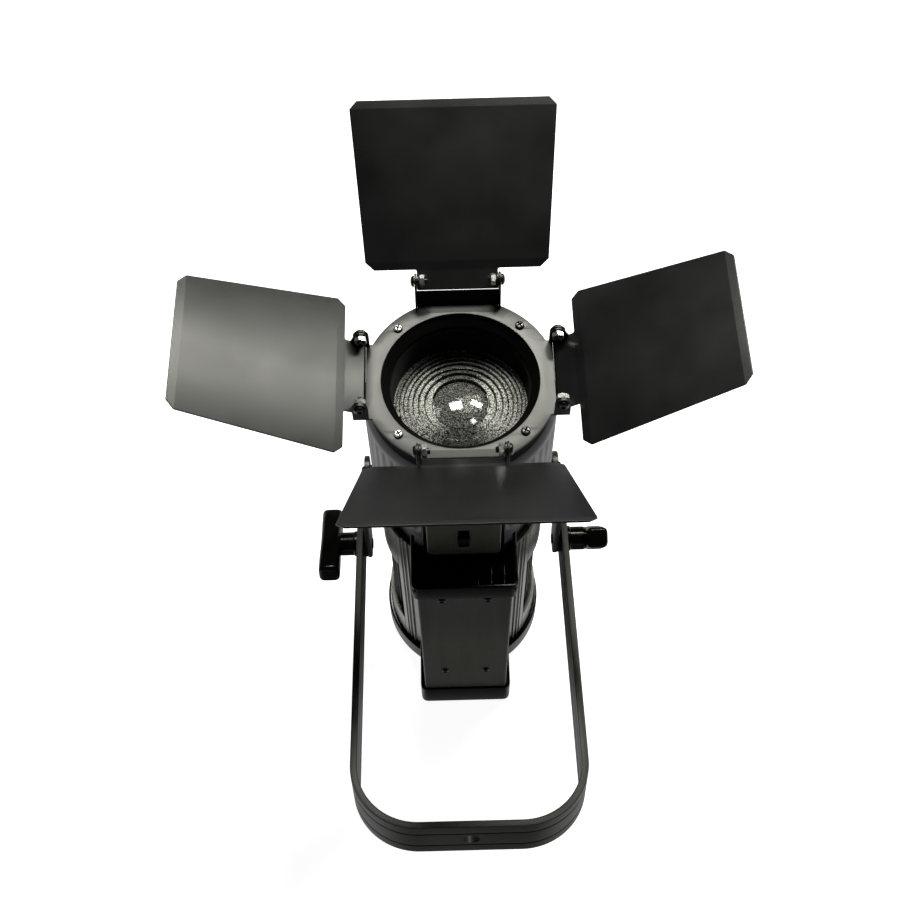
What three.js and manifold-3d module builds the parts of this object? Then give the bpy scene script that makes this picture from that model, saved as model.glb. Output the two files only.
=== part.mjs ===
// Compact theatre fresnel spotlight with a four-leaf barn door, standing on its rear end.
// Millimetres. +Z is the optical axis, pointing out of the lens. -Y is the belly side, where
// the driver box sits. The origin is on the optical axis, in the plane of the rear end.
import * as THREE from 'three';
import * as BufferGeometryUtils from 'three/addons/utils/BufferGeometryUtils.js';
import Module from 'manifold-3d';

const wasm = await Module();
wasm.setup();

// ---- driving dimensions ----
const GAP = 0.3;                 // clearance between touching pieces
const SEGMENTS = 40;             // sides of the big round pieces
const SHEET = 1.2;               // barn-door leaves and ears

const REAR_RIM_R = 63.4;         // moulded rear cover
const REAR_RIM_TOP = 21;
const HEATSINK_R = 60;           // rear body, over its skin
const HEATSINK_LOW = 9;
const HEATSINK_TOP = 210;
const HEATSINK_WALL = 5;
const RIB_GROOVE = 0.9;          // depth of the grooves between the skin's ribs
const FINS = 11;                 // in each cooling window
const FIN_SLOT = 3.4;            // width and depth of the slots between fins
const WINDOW_LOW = 52;           // cooling windows between the skins
const WINDOW_HIGH = 157;
const WINDOW_DEPTH = 1.6;        // how far the fin tips lie below the skin
const WINDOW_HALF_ANGLE = 35;    // degrees to each side of the X axis
const NECK_R = 54;               // between the heatsink and the front barrel
const FLOOR_LOW = HEATSINK_TOP - 14;
const FLOOR_TOP = FLOOR_LOW + 5;  // inside face of the barrel casting's floor
const BARREL_R = 62.5;
const BARREL_LOW = 252;
const BARREL_TOP = 345;
const BARREL_BORE = 55.5;
const NECK_BORE = 50;
const COLLAR_R = 59.5;
const PLATE_TOP = 361;           // front face of the barn-door frame
const PLATE_T = 1.6;
const PLATE_R = 61.8;
const BORE_R = 50;
const FLAT_X = 59.4;             // half width over the left and right tabs
const FLAT_Y = 56.4;             // half width over the upper and lower flats
const FRAME_SCREW_R = 55.3;      // screw circle of the four frame screws

const BAFFLE_R = 44.7;           // dark tube behind the frame
const BAFFLE_WALL = 2.2;
const BEVEL_LOW = PLATE_TOP - 7;  // foot of the bevel between frame and tube
const LENS_R = 50;
const LENS_TOP = PLATE_TOP - 29.7;
const LENS_T = 9;
const LENS_STEP = 2.6;           // height of each ring's riser
const LENS_CENTRE = 18.3;        // radius of the centre dome
const LENS_FIRST = 23.3;         // outer radius of the first ring
const LENS_RINGS = 7;

const BOX_HALF = 32.9;           // driver box
const BOX_FRONT = -88.5;
const BOX_LOW = 30;
const BOX_HIGH = 220;
const BOX_WALL = 2.5;
const BOX_BACK = -40;
const BOX_SCREW_X = 16;
const BOX_SCREW_Z = [BOX_HIGH - 5, 72];
const CAP_HALF = 36.6;           // plastic end caps of the driver box
const CAP_FRONT = -90.2;
const CAP_TOP = 238.5;
const CAP_BACK = -36;
const CAP_WALL = 3;
const CAP_CORNER = 6;
const CAP_RIBS = 7;
const CAP_RIB_PITCH = 9;
const INLET_HALF = 14;           // power inlet in the lower cap
const INLET_FRONT = -86.6;
const INLET_BACK = -66.6;
const FOCUS_HALF = 27.5;         // small housing over the focus slot
const FOCUS_FRONT = -67.2;
const FOCUS_LOW = 241;
const FOCUS_HIGH = 343;
const FOCUS_DEPTH = 30;
const FOCUS_CORNER = 5;
const SLOT_X = 7.4;
const SLOT_LOW = 254;
const SLOT_HIGH = 280;
const SLOT_MIDDLE = (SLOT_LOW + SLOT_HIGH) / 2;
const RETAINER_T = 4;            // ring that holds the lens
const CARRIAGE_R = 44;           // lamp carriage and its guide rods
const CARRIAGE_T = 8;
const LED_T = 2.6;
const ROD_R = 3;
const ROD_X = 36;

const PIVOT_Z = 121.75;          // yoke pivot
const YOKE_RISE = 9.6;           // degrees above horizontal, towards -Y
const YOKE_OUT = 81.7;           // half width over the arms
const YOKE_T = 5;
const YOKE_W = 40;
const YOKE_LENGTH = 243.3;       // pivot to the outer face of the base
const YOKE_BEND_R = 47;          // outer radius of each bend
const BRACKET_W = 22;            // side brackets that carry the yoke
const BRACKET_T = 3.5;
const BRACKET_TOP = 253;
const BRACKET_X_TOP = 64.7;      // inner face, at the front barrel
const BRACKET_X_LOW = 71;        // inner face, at the pivot
const BRACKET_NEAR = 60;          // x range that clears the bracket both ways
const BRACKET_FAR = 90;
const BRACKET_STEP_TOP = 214;    // the step outwards, from top to foot
const BRACKET_STEP_LOW = 196;
const BRACKET_SCREW_Z = [BRACKET_TOP - BRACKET_W / 2, BRACKET_TOP - BRACKET_W / 2 - 16];
const HANG_HOLE_R = 6;
const STUD_R = 4;
const BOSS_R = 10;               // tightening knob
const GRIP_OUT = 103.3;          // middle of the cross grip, from the optical axis
const GRIP_HALF = 35;
const GRIP_R = 8.2;
const KNOB_TURN_LEFT = 110;      // degrees about X
const KNOB_TURN_RIGHT = 25;

// leaf: half widths at the hinge side and at the free edge, distances from the hinge axis
const LEAF_NEAR = 8.2;
const LEAF_CHAMFER = 5.2;
const LEAF_DROP = 6.85;          // sheet below the hinge axis
const LEAF_INNER = 5.05;         // tab edge inboard of the axis
const TAB_HALF = 26.1;
const LEAF_EAR_R = 4.6;
const FRAME_EAR_R = 5;
const WIDE_LEAF = { near: 58.7, far: 67.2, reach: 117.2 };
const NARROW_LEAF = { near: 57, far: 47.2, reach: 116.3 };
// hinge axes: out from the flat's edge and up from the frame's face; the flange below each, and
// the foot of its ears as points outwards from the axis and up from the frame's underside
const LOW_AXIS = {
  out: 2.75, up: 11.3, flange: { lean: 1.2, rise: 3.4 }, foot: [[-5, 0], [5, 0]],
};
const HIGH_AXIS = {
  out: 5.8, up: 19.3, flange: { lean: 5.2, rise: 10 }, foot: [[-9.8, 0], [-5.3, 0], [5, 5]],
};
const OPEN_UPPER = 30.2;         // degrees above the frame's plane
const OPEN_LOWER = 45.6;
const OPEN_LEFT = 24.3;
const OPEN_RIGHT = 30.4;
const HINGE_SCREW_R = 1.9;
const HINGE_NUT_R = 4.1;
const HINGE_NUT_T = 3.4;
const BRACKET_SCREW = { head: 3.75, shank: 2, length: 17.5 };
const BOX_SCREW = { head: 2.6, shank: 1.5, length: 4.5 };
const FRAME_SCREW = { head: 2.85, shank: 1.5, length: 9 };

const DEG = Math.PI / 180;

// ---- materials ----
function metal(hex, roughness, metalness = 0.4) {
  return new THREE.MeshStandardMaterial({ color: hex, roughness, metalness });
}
const BLACK_PAINT = () => metal(0x1b1c1e, 0.5);
const BLACK_ANODISED = () => metal(0x2a2a28, 0.4, 0.7);
const BLACK_PLASTIC = () => metal(0x101011, 0.3, 0);
const ZINC = () => metal(0xc9cac8, 0.25, 1);
const BARE_ALUMINIUM = () => metal(0xb5b7b8, 0.35, 1);
const GLASS = () => new THREE.MeshStandardMaterial({
  color: 0xe6ece8, roughness: 0.08, metalness: 0, transparent: true, opacity: 0.35,
});

// ---- solids ----
function toSolid(geometry) {
  let bare = geometry.index ? geometry.toNonIndexed() : geometry.clone();
  bare.deleteAttribute('normal');
  bare.deleteAttribute('uv');
  bare = BufferGeometryUtils.mergeVertices(bare, 1e-4);
  const triangles = [];
  for (let i = 0; i < bare.index.count; i += 3) {
    const [a, b, c] = [0, 1, 2].map((k) => bare.index.array[i + k]);
    if (a !== b && b !== c && c !== a) {
      triangles.push(a, b, c);
    }
  }
  return new wasm.Manifold(new wasm.Mesh({
    numProp: 3,
    vertProperties: new Float32Array(bare.attributes.position.array),
    triVerts: new Uint32Array(triangles),
  }));
}

function toGeometry(solid) {
  const mesh = solid.getMesh();
  const geometry = new THREE.BufferGeometry();
  geometry.setAttribute('position', new THREE.BufferAttribute(mesh.vertProperties, 3));
  geometry.setIndex(new THREE.BufferAttribute(mesh.triVerts, 1));
  geometry.computeVertexNormals();
  return geometry;
}

// Box given by its lowest and highest corners.
function box(low, high) {
  const size = high.map((value, i) => value - low[i]);
  const geometry = new THREE.BoxGeometry(...size);
  geometry.translate(...high.map((value, i) => (value + low[i]) / 2));
  return geometry;
}

// Closed profile of [radius, z] points turned about Z.
function turned(profile, segments = SEGMENTS) {
  const points = profile.map(([r, z]) => new THREE.Vector2(r, z));
  const geometry = new THREE.LatheGeometry([...points, points[0].clone()], segments);
  geometry.rotateX(Math.PI / 2);
  return geometry;
}

// Solid disc profile: it starts and ends on the axis.
function turnedSolid(profile, segments = SEGMENTS) {
  const points = profile.map(([r, z]) => new THREE.Vector2(r, z));
  const geometry = new THREE.LatheGeometry(points, segments);
  geometry.rotateX(Math.PI / 2);
  return geometry;
}

function ring(inner, outer, low, high, segments = SEGMENTS) {
  return turned([[inner, low], [outer, low], [outer, high], [inner, high]], segments);
}

function disc(radius, low, high, segments = SEGMENTS) {
  return turnedSolid([[0, low], [radius, low], [radius, high], [0, high]], segments);
}

// Disc along X between two x values.
function discX(radius, low, high, segments = 32) {
  const geometry = disc(radius, low, high, segments);
  geometry.rotateY(Math.PI / 2);
  return geometry;
}

function extruded(shape, depth, arcSteps = 3) {
  return new THREE.ExtrudeGeometry(shape, { depth, bevelEnabled: false, curveSegments: arcSteps });
}

function polygon(points) {
  return new THREE.Shape(points.map(([x, y]) => new THREE.Vector2(x, y)));
}

function roundedRectangle(halfX, lowY, highY, radius) {
  const shape = new THREE.Shape();
  shape.moveTo(-halfX + radius, lowY);
  shape.lineTo(halfX - radius, lowY);
  shape.absarc(halfX - radius, lowY + radius, radius, -Math.PI / 2, 0);
  shape.lineTo(halfX, highY);
  shape.lineTo(-halfX, highY);
  shape.lineTo(-halfX, lowY + radius);
  shape.absarc(-halfX + radius, lowY + radius, radius, Math.PI, Math.PI * 1.5);
  return shape;
}

function add(group, name, geometry, material) {
  const mesh = new THREE.Mesh(toGeometry(toSolid(geometry)), material);
  mesh.name = name;
  group.add(mesh);
  return mesh;
}

// ---- rear body ----
// Ribbed tube with two cooling windows of upright fins, one on each side.
function heatsinkHousing() {
  const outline = [];
  const steps = 90;
  const ribPitch = 3;
  for (let i = 0; i < steps; i += 1) {
    const angle = (i / steps) * Math.PI * 2;
    const r = (i % ribPitch === 0) ? HEATSINK_R - RIB_GROOVE : HEATSINK_R;
    outline.push([r * Math.cos(angle), r * Math.sin(angle)]);
  }
  const shape = polygon(outline);
  const bore = new THREE.Path();
  bore.absarc(0, 0, HEATSINK_R - HEATSINK_WALL, 0, Math.PI * 2, true);
  shape.holes.push(bore);
  const tube = extruded(shape, HEATSINK_TOP - HEATSINK_LOW, 18);
  tube.translate(0, 0, HEATSINK_LOW);
  let solid = toSolid(tube);
  for (const side of [0, 180]) {
    for (let i = 0; i < FINS; i += 1) {
      const angle = side + WINDOW_HALF_ANGLE * ((2 * i) / (FINS - 1) - 1);
      solid = solid.subtract(toSolid(finSlot(angle)));
    }
    solid = solid.subtract(toSolid(windowCut(side)));
  }
  return toGeometry(solid);
}

function finSlot(angle) {
  const low = [HEATSINK_R - FIN_SLOT, -FIN_SLOT / 2, WINDOW_LOW];
  const cut = box(low, [HEATSINK_R + 5, FIN_SLOT / 2, WINDOW_HIGH]);
  cut.rotateZ(angle * DEG);
  return cut;
}

// Sector of a ring that takes the skin off over one window.
function windowCut(side) {
  const from = (side - WINDOW_HALF_ANGLE - 3) * DEG;
  const to = (side + WINDOW_HALF_ANGLE + 3) * DEG;
  const sector = new THREE.Shape();
  sector.absarc(0, 0, HEATSINK_R + 5, from, to, false);
  sector.absarc(0, 0, HEATSINK_R - WINDOW_DEPTH, to, from, true);
  const cut = extruded(sector, WINDOW_HIGH - WINDOW_LOW, 6);
  cut.translate(0, 0, WINDOW_LOW);
  return cut;
}

// Moulded rear cover: a rim round the end of the heatsink, a vented end wall and a centre pad.
function rearCover() {
  const slotWidth = 4;
  const ventR = 42;
  const padR = 10;
  const seat = HEATSINK_LOW - GAP;
  const inner = HEATSINK_R + GAP;
  let solid = toSolid(turnedSolid([
    [0, 3], [REAR_RIM_R - 12, 3], [REAR_RIM_R - 10, 0], [REAR_RIM_R - 2, 0], [REAR_RIM_R, 2],
    [REAR_RIM_R, REAR_RIM_TOP - 1], [REAR_RIM_R - 1, REAR_RIM_TOP], [inner, REAR_RIM_TOP],
    [inner, seat], [0, seat],
  ]));
  solid = solid.add(toSolid(disc(padR, 0, 5, 20)));
  for (const distance of [13, 21, 29, 37]) {
    const half = Math.sqrt(ventR ** 2 - distance ** 2);
    for (const y of [-distance, distance]) {
      const slot = box([-half, y - slotWidth / 2, -1], [half, y + slotWidth / 2, seat + 1]);
      solid = solid.subtract(toSolid(slot));
    }
  }
  return toGeometry(solid);
}

// Neck and front barrel in one casting, with a floor for the lamp guides and a slot for the
// focus slider.
function frontBarrel() {
  const step = BARREL_LOW + 5;
  const wireHoleR = 6;
  let solid = toSolid(turnedSolid([
    [0, FLOOR_LOW], [NECK_R, FLOOR_LOW], [NECK_R, BARREL_LOW], [BARREL_R, BARREL_LOW],
    [BARREL_R, BARREL_TOP - 6], [BARREL_R - 3, BARREL_TOP], [BARREL_BORE, BARREL_TOP],
    [BARREL_BORE, step], [NECK_BORE, step], [NECK_BORE, FLOOR_TOP], [0, FLOOR_TOP],
  ]));
  const slot = box([-SLOT_X / 2, -BARREL_R - 2, SLOT_LOW], [SLOT_X / 2, -NECK_R + 8, SLOT_HIGH]);
  solid = solid.subtract(toSolid(slot));
  solid = solid.subtract(toSolid(disc(wireHoleR, FLOOR_LOW - 1, FLOOR_TOP + 1, 24)));
  for (const z of BRACKET_SCREW_Z) {
    const holes = discX(BRACKET_SCREW.shank + GAP, -BARREL_R - 1, BARREL_R + 1, 10);
    holes.translate(0, 0, z);
    solid = solid.subtract(toSolid(holes));
  }
  return toGeometry(solid);
}

// Collar that carries the frame. Its mouth narrows in a bevel to the baffle tube.
function frontCollar() {
  const low = BARREL_TOP + GAP;
  const high = PLATE_TOP - PLATE_T - GAP;
  const seat = BAFFLE_R + BAFFLE_WALL + GAP;
  let solid = toSolid(turned([
    [seat, low], [BARREL_R - 3, low], [COLLAR_R, low + 4], [COLLAR_R, high], [BORE_R, high],
    [BAFFLE_R, BEVEL_LOW], [BAFFLE_R, BEVEL_LOW - 2], [seat, BEVEL_LOW - 2],
  ]));
  for (const [x, y] of frameScrewPlaces()) {
    const hole = disc(FRAME_SCREW.shank + GAP, low - 1, PLATE_TOP, 10);
    hole.translate(x, y, 0);
    solid = solid.subtract(toSolid(hole));
  }
  return toGeometry(solid);
}

// Matt black tube between the collar's mouth and the lens.
function lensBaffle() {
  const low = LENS_TOP + GAP;
  const high = BEVEL_LOW - 2 - GAP;
  const outer = BAFFLE_R + BAFFLE_WALL;
  return turned([[BAFFLE_R - 1.4, low], [outer, low], [outer, high], [BAFFLE_R, high]]);
}

// ---- optics ----
// Stepped front: a centre dome and rings of equal area, all cut back to the same height.
function fresnelLens() {
  const base = LENS_TOP - LENS_T;
  const floor = LENS_TOP - LENS_STEP;
  const area = LENS_FIRST ** 2 - LENS_CENTRE ** 2;
  const radius = (i) => Math.sqrt(LENS_CENTRE ** 2 + i * area);
  const rim = radius(LENS_RINGS);
  const profile = [[0, base], [LENS_R, base], [LENS_R, floor], [rim, floor]];
  for (let i = LENS_RINGS - 1; i >= 0; i -= 1) {
    profile.push([radius(i), LENS_TOP], [radius(i), floor]);
  }
  profile.push([LENS_CENTRE * 0.6, LENS_TOP - 0.8], [0, LENS_TOP]);
  return turnedSolid(profile, 36);
}

function lensRetainer() {
  const high = LENS_TOP - LENS_T - GAP;
  return ring(LENS_R - 4, BARREL_BORE - GAP, high - RETAINER_T, high);
}

// Aluminium disc that carries the lamp along the two guide rods.
function lampCarriage() {
  const z = SLOT_MIDDLE;
  let solid = toSolid(disc(CARRIAGE_R, z - CARRIAGE_T / 2, z + CARRIAGE_T / 2, 36));
  for (const side of [-1, 1]) {
    const hole = disc(ROD_R + GAP, z - CARRIAGE_T, z + CARRIAGE_T, 10);
    hole.translate(side * ROD_X, 0, 0);
    solid = solid.subtract(toSolid(hole));
  }
  return toGeometry(solid);
}

function guideRod(side) {
  const high = LENS_TOP - LENS_T - RETAINER_T - 2 * GAP;
  const rod = disc(ROD_R, FLOOR_TOP + GAP, high, 10);
  rod.translate(side * ROD_X, 0, 0);
  return rod;
}

// Upright cooling fins round a solid core, inside the rear body.
function coolingCore() {
  const low = 50;
  const high = FLOOR_LOW - GAP;
  const coreR = 16;
  const finR = 52;
  const headR = 54;
  const headT = 8;
  const fins = 12;
  let solid = toSolid(disc(coreR, low, high, 24));
  for (let i = 0; i < fins / 2; i += 1) {
    const pair = box([-finR, -1, low], [finR, 1, high]);
    pair.rotateZ((i / fins) * Math.PI * 2);
    solid = solid.add(toSolid(pair));
  }
  solid = solid.add(toSolid(disc(headR, high - headT, high, 36)));
  return toGeometry(solid);
}

function ledModule() {
  const low = SLOT_MIDDLE + CARRIAGE_T / 2 + GAP;
  const half = 14;
  const emitterR = 9;
  const solid = toSolid(box([-half, -half, low], [half, half, low + 1.6]));
  return toGeometry(solid.add(toSolid(disc(emitterR, low + 1, low + LED_T, 20))));
}

function reflector() {
  const low = SLOT_MIDDLE + CARRIAGE_T / 2 + LED_T + 2 * GAP;
  return turned([[9.5, low], [11, low], [24, low + 16], [22.5, low + 16]], 24);
}

// ---- driver box ----
// U-channel whose side walls stop at the round body.
function driverHousing() {
  const inner = BOX_HALF - BOX_WALL;
  const shape = polygon([
    [-BOX_HALF, BOX_FRONT], [BOX_HALF, BOX_FRONT], [BOX_HALF, BOX_BACK], [inner, BOX_BACK],
    [inner, BOX_FRONT + BOX_WALL], [-inner, BOX_FRONT + BOX_WALL], [-inner, BOX_BACK],
    [-BOX_HALF, BOX_BACK],
  ]);
  const channel = extruded(shape, BOX_HIGH - BOX_LOW);
  channel.translate(0, 0, BOX_LOW);
  const body = disc(HEATSINK_R + GAP, 0, PLATE_TOP);
  let solid = toSolid(channel).subtract(toSolid(body));
  for (const [x, z] of boxScrewPlaces()) {
    const hole = disc(BOX_SCREW.shank + GAP, 0, 10, 16);
    hole.rotateX(Math.PI / 2);
    hole.translate(x, BOX_FRONT + 5, z);
    solid = solid.subtract(toSolid(hole));
  }
  return toGeometry(solid);
}

function boxScrewPlaces() {
  return BOX_SCREW_Z.flatMap((z) => [[-BOX_SCREW_X, z], [BOX_SCREW_X, z]]);
}

function capBlank(low, high) {
  const cap = extruded(roundedRectangle(CAP_HALF, CAP_FRONT, CAP_BACK, CAP_CORNER), high - low);
  cap.translate(0, 0, low);
  return toSolid(cap);
}

// Upper cap: an open tray with cooling ribs, round the front end of the box.
function driverFrontCap() {
  const floor = BOX_HIGH + 7;
  const inner = roundedRectangle(CAP_HALF - CAP_WALL, CAP_FRONT + CAP_WALL, CAP_BACK, CAP_CORNER - 2);
  const tray = extruded(inner, CAP_TOP);
  tray.translate(0, 0, floor);
  let solid = capBlank(BOX_HIGH + GAP, CAP_TOP).subtract(toSolid(tray));
  solid = solid.subtract(toSolid(disc(HEATSINK_R + 2 * GAP, 0, PLATE_TOP)));
  for (let i = 0; i < CAP_RIBS; i += 1) {
    const x = (i - (CAP_RIBS - 1) / 2) * CAP_RIB_PITCH;
    const rib = box([x - 0.8, CAP_FRONT + 2, floor - 1], [x + 0.8, -72, CAP_TOP - 4]);
    solid = solid.add(toSolid(rib));
  }
  return toGeometry(solid);
}

// Lower cap: it closes the box and stands on the same plane as the rear cover.
function driverRearCap() {
  let solid = capBlank(0, BOX_LOW - GAP);
  const floor = 5;
  const well = roundedRectangle(BOX_HALF - 4, CAP_FRONT + CAP_WALL, INLET_BACK + 0.6, CAP_CORNER - 3);
  const hollow = extruded(well, BOX_LOW);
  hollow.translate(0, 0, floor);
  solid = solid.subtract(toSolid(hollow));
  solid = solid.subtract(toSolid(disc(REAR_RIM_R + GAP, -1, REAR_RIM_TOP + GAP)));
  solid = solid.subtract(toSolid(disc(HEATSINK_R + 2 * GAP, -1, PLATE_TOP)));
  const seatX = INLET_HALF + GAP;
  const seat = box([-seatX, INLET_FRONT - GAP, -1], [seatX, INLET_BACK + GAP, floor + 1]);
  solid = solid.subtract(toSolid(seat));
  return toGeometry(solid);
}

// Appliance inlet, recessed in the lower cap, with three flat pins in its well.
function powerInlet() {
  const wall = 2.5;
  const depth = 14;
  const pinX = 7;
  const middle = (INLET_FRONT + INLET_BACK) / 2;
  const inner = INLET_HALF - wall;
  const shell = box([-INLET_HALF, INLET_FRONT, 1], [INLET_HALF, INLET_BACK, 22]);
  const well = box([-inner, INLET_FRONT + wall, 0], [inner, INLET_BACK - wall, depth]);
  let solid = toSolid(shell).subtract(toSolid(well));
  for (const [x, y] of [[-pinX, middle - 2], [0, middle + 2], [pinX, middle - 2]]) {
    solid = solid.add(toSolid(box([x - 2, y - 1, 6], [x + 2, y + 1, depth + 1])));
  }
  return toGeometry(solid);
}

// Sealed electronics block inside the driver box.
function ledDriver() {
  return box([-24, BOX_FRONT + 4.5, 44], [24, -62, 206]);
}

// Small housing on the barrel's belly, with the focus slot in its front wall.
function focusHousing() {
  const outline = roundedRectangle(FOCUS_HALF, FOCUS_LOW, FOCUS_HIGH, FOCUS_CORNER);
  const panel = extruded(outline, FOCUS_DEPTH, 6);
  panel.rotateX(Math.PI / 2);
  panel.translate(0, FOCUS_FRONT + FOCUS_DEPTH, 0);
  const slot = box([-SLOT_X / 2, -90, SLOT_LOW], [SLOT_X / 2, -40, SLOT_HIGH]);
  let solid = toSolid(panel).subtract(toSolid(slot));
  solid = solid.subtract(toSolid(disc(BARREL_R + GAP, BARREL_LOW - GAP, PLATE_TOP)));
  solid = solid.subtract(toSolid(disc(NECK_R + GAP, 0, BARREL_LOW)));
  return toGeometry(solid);
}

// Tab in the slot, reaching in to the lamp carriage's edge.
function focusSlider() {
  const half = SLOT_X / 2 - 0.4;
  const reach = -CARRIAGE_R - GAP;
  return box([-half, FOCUS_FRONT - 1.5, SLOT_MIDDLE - 4], [half, reach, SLOT_MIDDLE + 4]);
}

// ---- yoke and its brackets ----
// Strap with round ends, from the neck's side down to the pivot, stepped outwards on the way.
// Two bosses hold it off the neck.
function sideBracket(side) {
  const t = BRACKET_T;
  const half = BRACKET_W / 2;
  const kink = 0.8;
  const outline = polygon([
    [BRACKET_X_TOP, BRACKET_TOP], [BRACKET_X_TOP, BRACKET_STEP_TOP], [BRACKET_X_LOW, BRACKET_STEP_LOW],
    [BRACKET_X_LOW, PIVOT_Z - half], [BRACKET_X_LOW + t, PIVOT_Z - half],
    [BRACKET_X_LOW + t, BRACKET_STEP_LOW + kink], [BRACKET_X_TOP + t, BRACKET_STEP_TOP + kink],
    [BRACKET_X_TOP + t, BRACKET_TOP],
  ]);
  const strap = extruded(outline, BRACKET_W);
  strap.rotateX(Math.PI / 2);
  strap.translate(0, half, 0);
  let solid = toSolid(strap).subtract(bracketEnd(PIVOT_Z, -1)).subtract(bracketEnd(BRACKET_TOP - half, 1));
  const bore = discX(STUD_R + GAP, BRACKET_NEAR, BRACKET_FAR, 16);
  bore.translate(0, 0, PIVOT_Z);
  solid = solid.subtract(toSolid(bore));
  for (const z of BRACKET_SCREW_Z) {
    const boss = discX(4.5, NECK_R + GAP, BRACKET_X_TOP + 1, 12);
    boss.translate(0, 0, z);
    const hole = discX(BRACKET_SCREW.shank + GAP, NECK_R - 1, BRACKET_FAR, 10);
    hole.translate(0, 0, z);
    solid = solid.add(toSolid(boss)).subtract(toSolid(hole));
  }
  const geometry = toGeometry(solid);
  if (side < 0) {
    geometry.rotateZ(Math.PI);
  }
  return geometry;
}

// What is cut off the strap beyond the centre of one round end, downwards or upwards.
function bracketEnd(centre, direction) {
  const reach = BRACKET_W;
  const low = Math.min(centre, centre + direction * reach);
  const block = box([BRACKET_NEAR, -reach, low], [BRACKET_FAR, reach, low + reach]);
  const round = discX(BRACKET_W / 2 - 0.02, BRACKET_NEAR, BRACKET_FAR, 24);
  round.translate(0, 0, centre);
  return toSolid(block).subtract(toSolid(round));
}

// Friction washer between bracket and yoke.
function pivotWasher(side) {
  const low = BRACKET_X_LOW + BRACKET_T + GAP;
  const high = YOKE_OUT - YOKE_T - GAP;
  const washerR = 10.5;
  const geometry = ring(STUD_R + GAP, washerR, low, high, 20);
  geometry.rotateY(Math.PI / 2);
  geometry.translate(0, 0, PIVOT_Z);
  if (side < 0) {
    geometry.rotateZ(Math.PI);
  }
  return geometry;
}

// Outline of the bent bar in its own plane: the arms reach along +Y and end past the pivot.
function yokeOutline() {
  const end = YOKE_W / 2;
  const inner = YOKE_BEND_R - YOKE_T;
  const bendX = YOKE_OUT - YOKE_BEND_R;
  const bendY = YOKE_LENGTH - YOKE_BEND_R;
  const armX = YOKE_OUT - YOKE_T;
  const outline = new THREE.Shape();
  outline.moveTo(-YOKE_OUT, -end);
  outline.lineTo(-YOKE_OUT, bendY);
  outline.absarc(-bendX, bendY, YOKE_BEND_R, Math.PI, Math.PI / 2, true);
  outline.lineTo(bendX, YOKE_LENGTH);
  outline.absarc(bendX, bendY, YOKE_BEND_R, Math.PI / 2, 0, true);
  outline.lineTo(YOKE_OUT, -end);
  outline.lineTo(armX, -end);
  outline.lineTo(armX, bendY);
  outline.absarc(bendX, bendY, inner, 0, Math.PI / 2, false);
  outline.lineTo(-bendX, YOKE_LENGTH - YOKE_T);
  outline.absarc(-bendX, bendY, inner, Math.PI / 2, Math.PI, false);
  outline.lineTo(-armX, -end);
  return outline;
}

// U of flat bar with round arm ends, two pivot holes and a hanging hole, tilted about its pivot.
function yoke() {
  const end = YOKE_W / 2;
  const bar = extruded(yokeOutline(), YOKE_W, 8);
  bar.translate(0, 0, -end);
  let solid = toSolid(bar);
  solid = solid.subtract(toSolid(discX(STUD_R + GAP, -YOKE_OUT - 5, YOKE_OUT + 5, 16)));
  const hang = disc(HANG_HOLE_R, -end, end, 20);
  hang.rotateX(Math.PI / 2);
  hang.translate(0, YOKE_LENGTH, 0);
  solid = solid.subtract(toSolid(hang));
  for (const x of [-YOKE_OUT, YOKE_OUT]) {
    const corner = box([x - 10, -end - 5, -end - 5], [x + 10, 0, end + 5]);
    const round = discX(end, x - 11, x + 11, 32);
    solid = solid.subtract(toSolid(corner).subtract(toSolid(round)));
  }
  const geometry = toGeometry(solid);
  geometry.rotateZ(Math.PI);
  geometry.rotateX(-YOKE_RISE * DEG);
  geometry.translate(0, 0, PIVOT_Z);
  return geometry;
}

// T-handle: stud, boss and a round cross grip, turned about X by the given angle.
function tightenKnob(side, turn) {
  const base = YOKE_OUT + GAP;
  let solid = toSolid(discX(STUD_R, BRACKET_X_LOW - 3, base + 2, 16));
  solid = solid.add(toSolid(discX(BOSS_R, base, GRIP_OUT - 4, 20)));
  const grip = turnedSolid([
    [0, -GRIP_HALF], [GRIP_R - 2.5, -GRIP_HALF], [GRIP_R, 2.5 - GRIP_HALF],
    [GRIP_R, GRIP_HALF - 2.5], [GRIP_R - 2.5, GRIP_HALF], [0, GRIP_HALF],
  ], 16);
  grip.translate(GRIP_OUT, 0, 0);
  solid = solid.add(toSolid(grip));
  const geometry = toGeometry(solid);
  geometry.rotateX(turn * DEG);
  if (side < 0) {
    geometry.rotateZ(Math.PI);
  }
  geometry.translate(0, 0, PIVOT_Z);
  return geometry;
}

// ---- barn door ----
// Each leaf and its hinge is drawn with the hinge axis along X through the origin, the leaf
// reaching out along +Y, and then carried to its side of the frame.
const SIDES = [
  { name: 'upper', turn: 0, flat: FLAT_Y, axis: HIGH_AXIS, leaf: WIDE_LEAF, open: OPEN_UPPER },
  { name: 'left', turn: 90, flat: FLAT_X, axis: LOW_AXIS, leaf: NARROW_LEAF, open: OPEN_LEFT },
  { name: 'lower', turn: 180, flat: FLAT_Y, axis: HIGH_AXIS, leaf: WIDE_LEAF, open: OPEN_LOWER },
  { name: 'right', turn: 270, flat: FLAT_X, axis: LOW_AXIS, leaf: NARROW_LEAF, open: OPEN_RIGHT },
];
const LEAF_EAR_X = TAB_HALF - SHEET;         // inner face of the leaf's ears
const FRAME_EAR_X = TAB_HALF + GAP;          // inner face of the frame's ears

function carryToSide(geometry, side) {
  geometry.translate(0, side.flat + side.axis.out, PLATE_TOP + side.axis.up);
  geometry.rotateZ(side.turn * DEG);
  return geometry;
}

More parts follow.
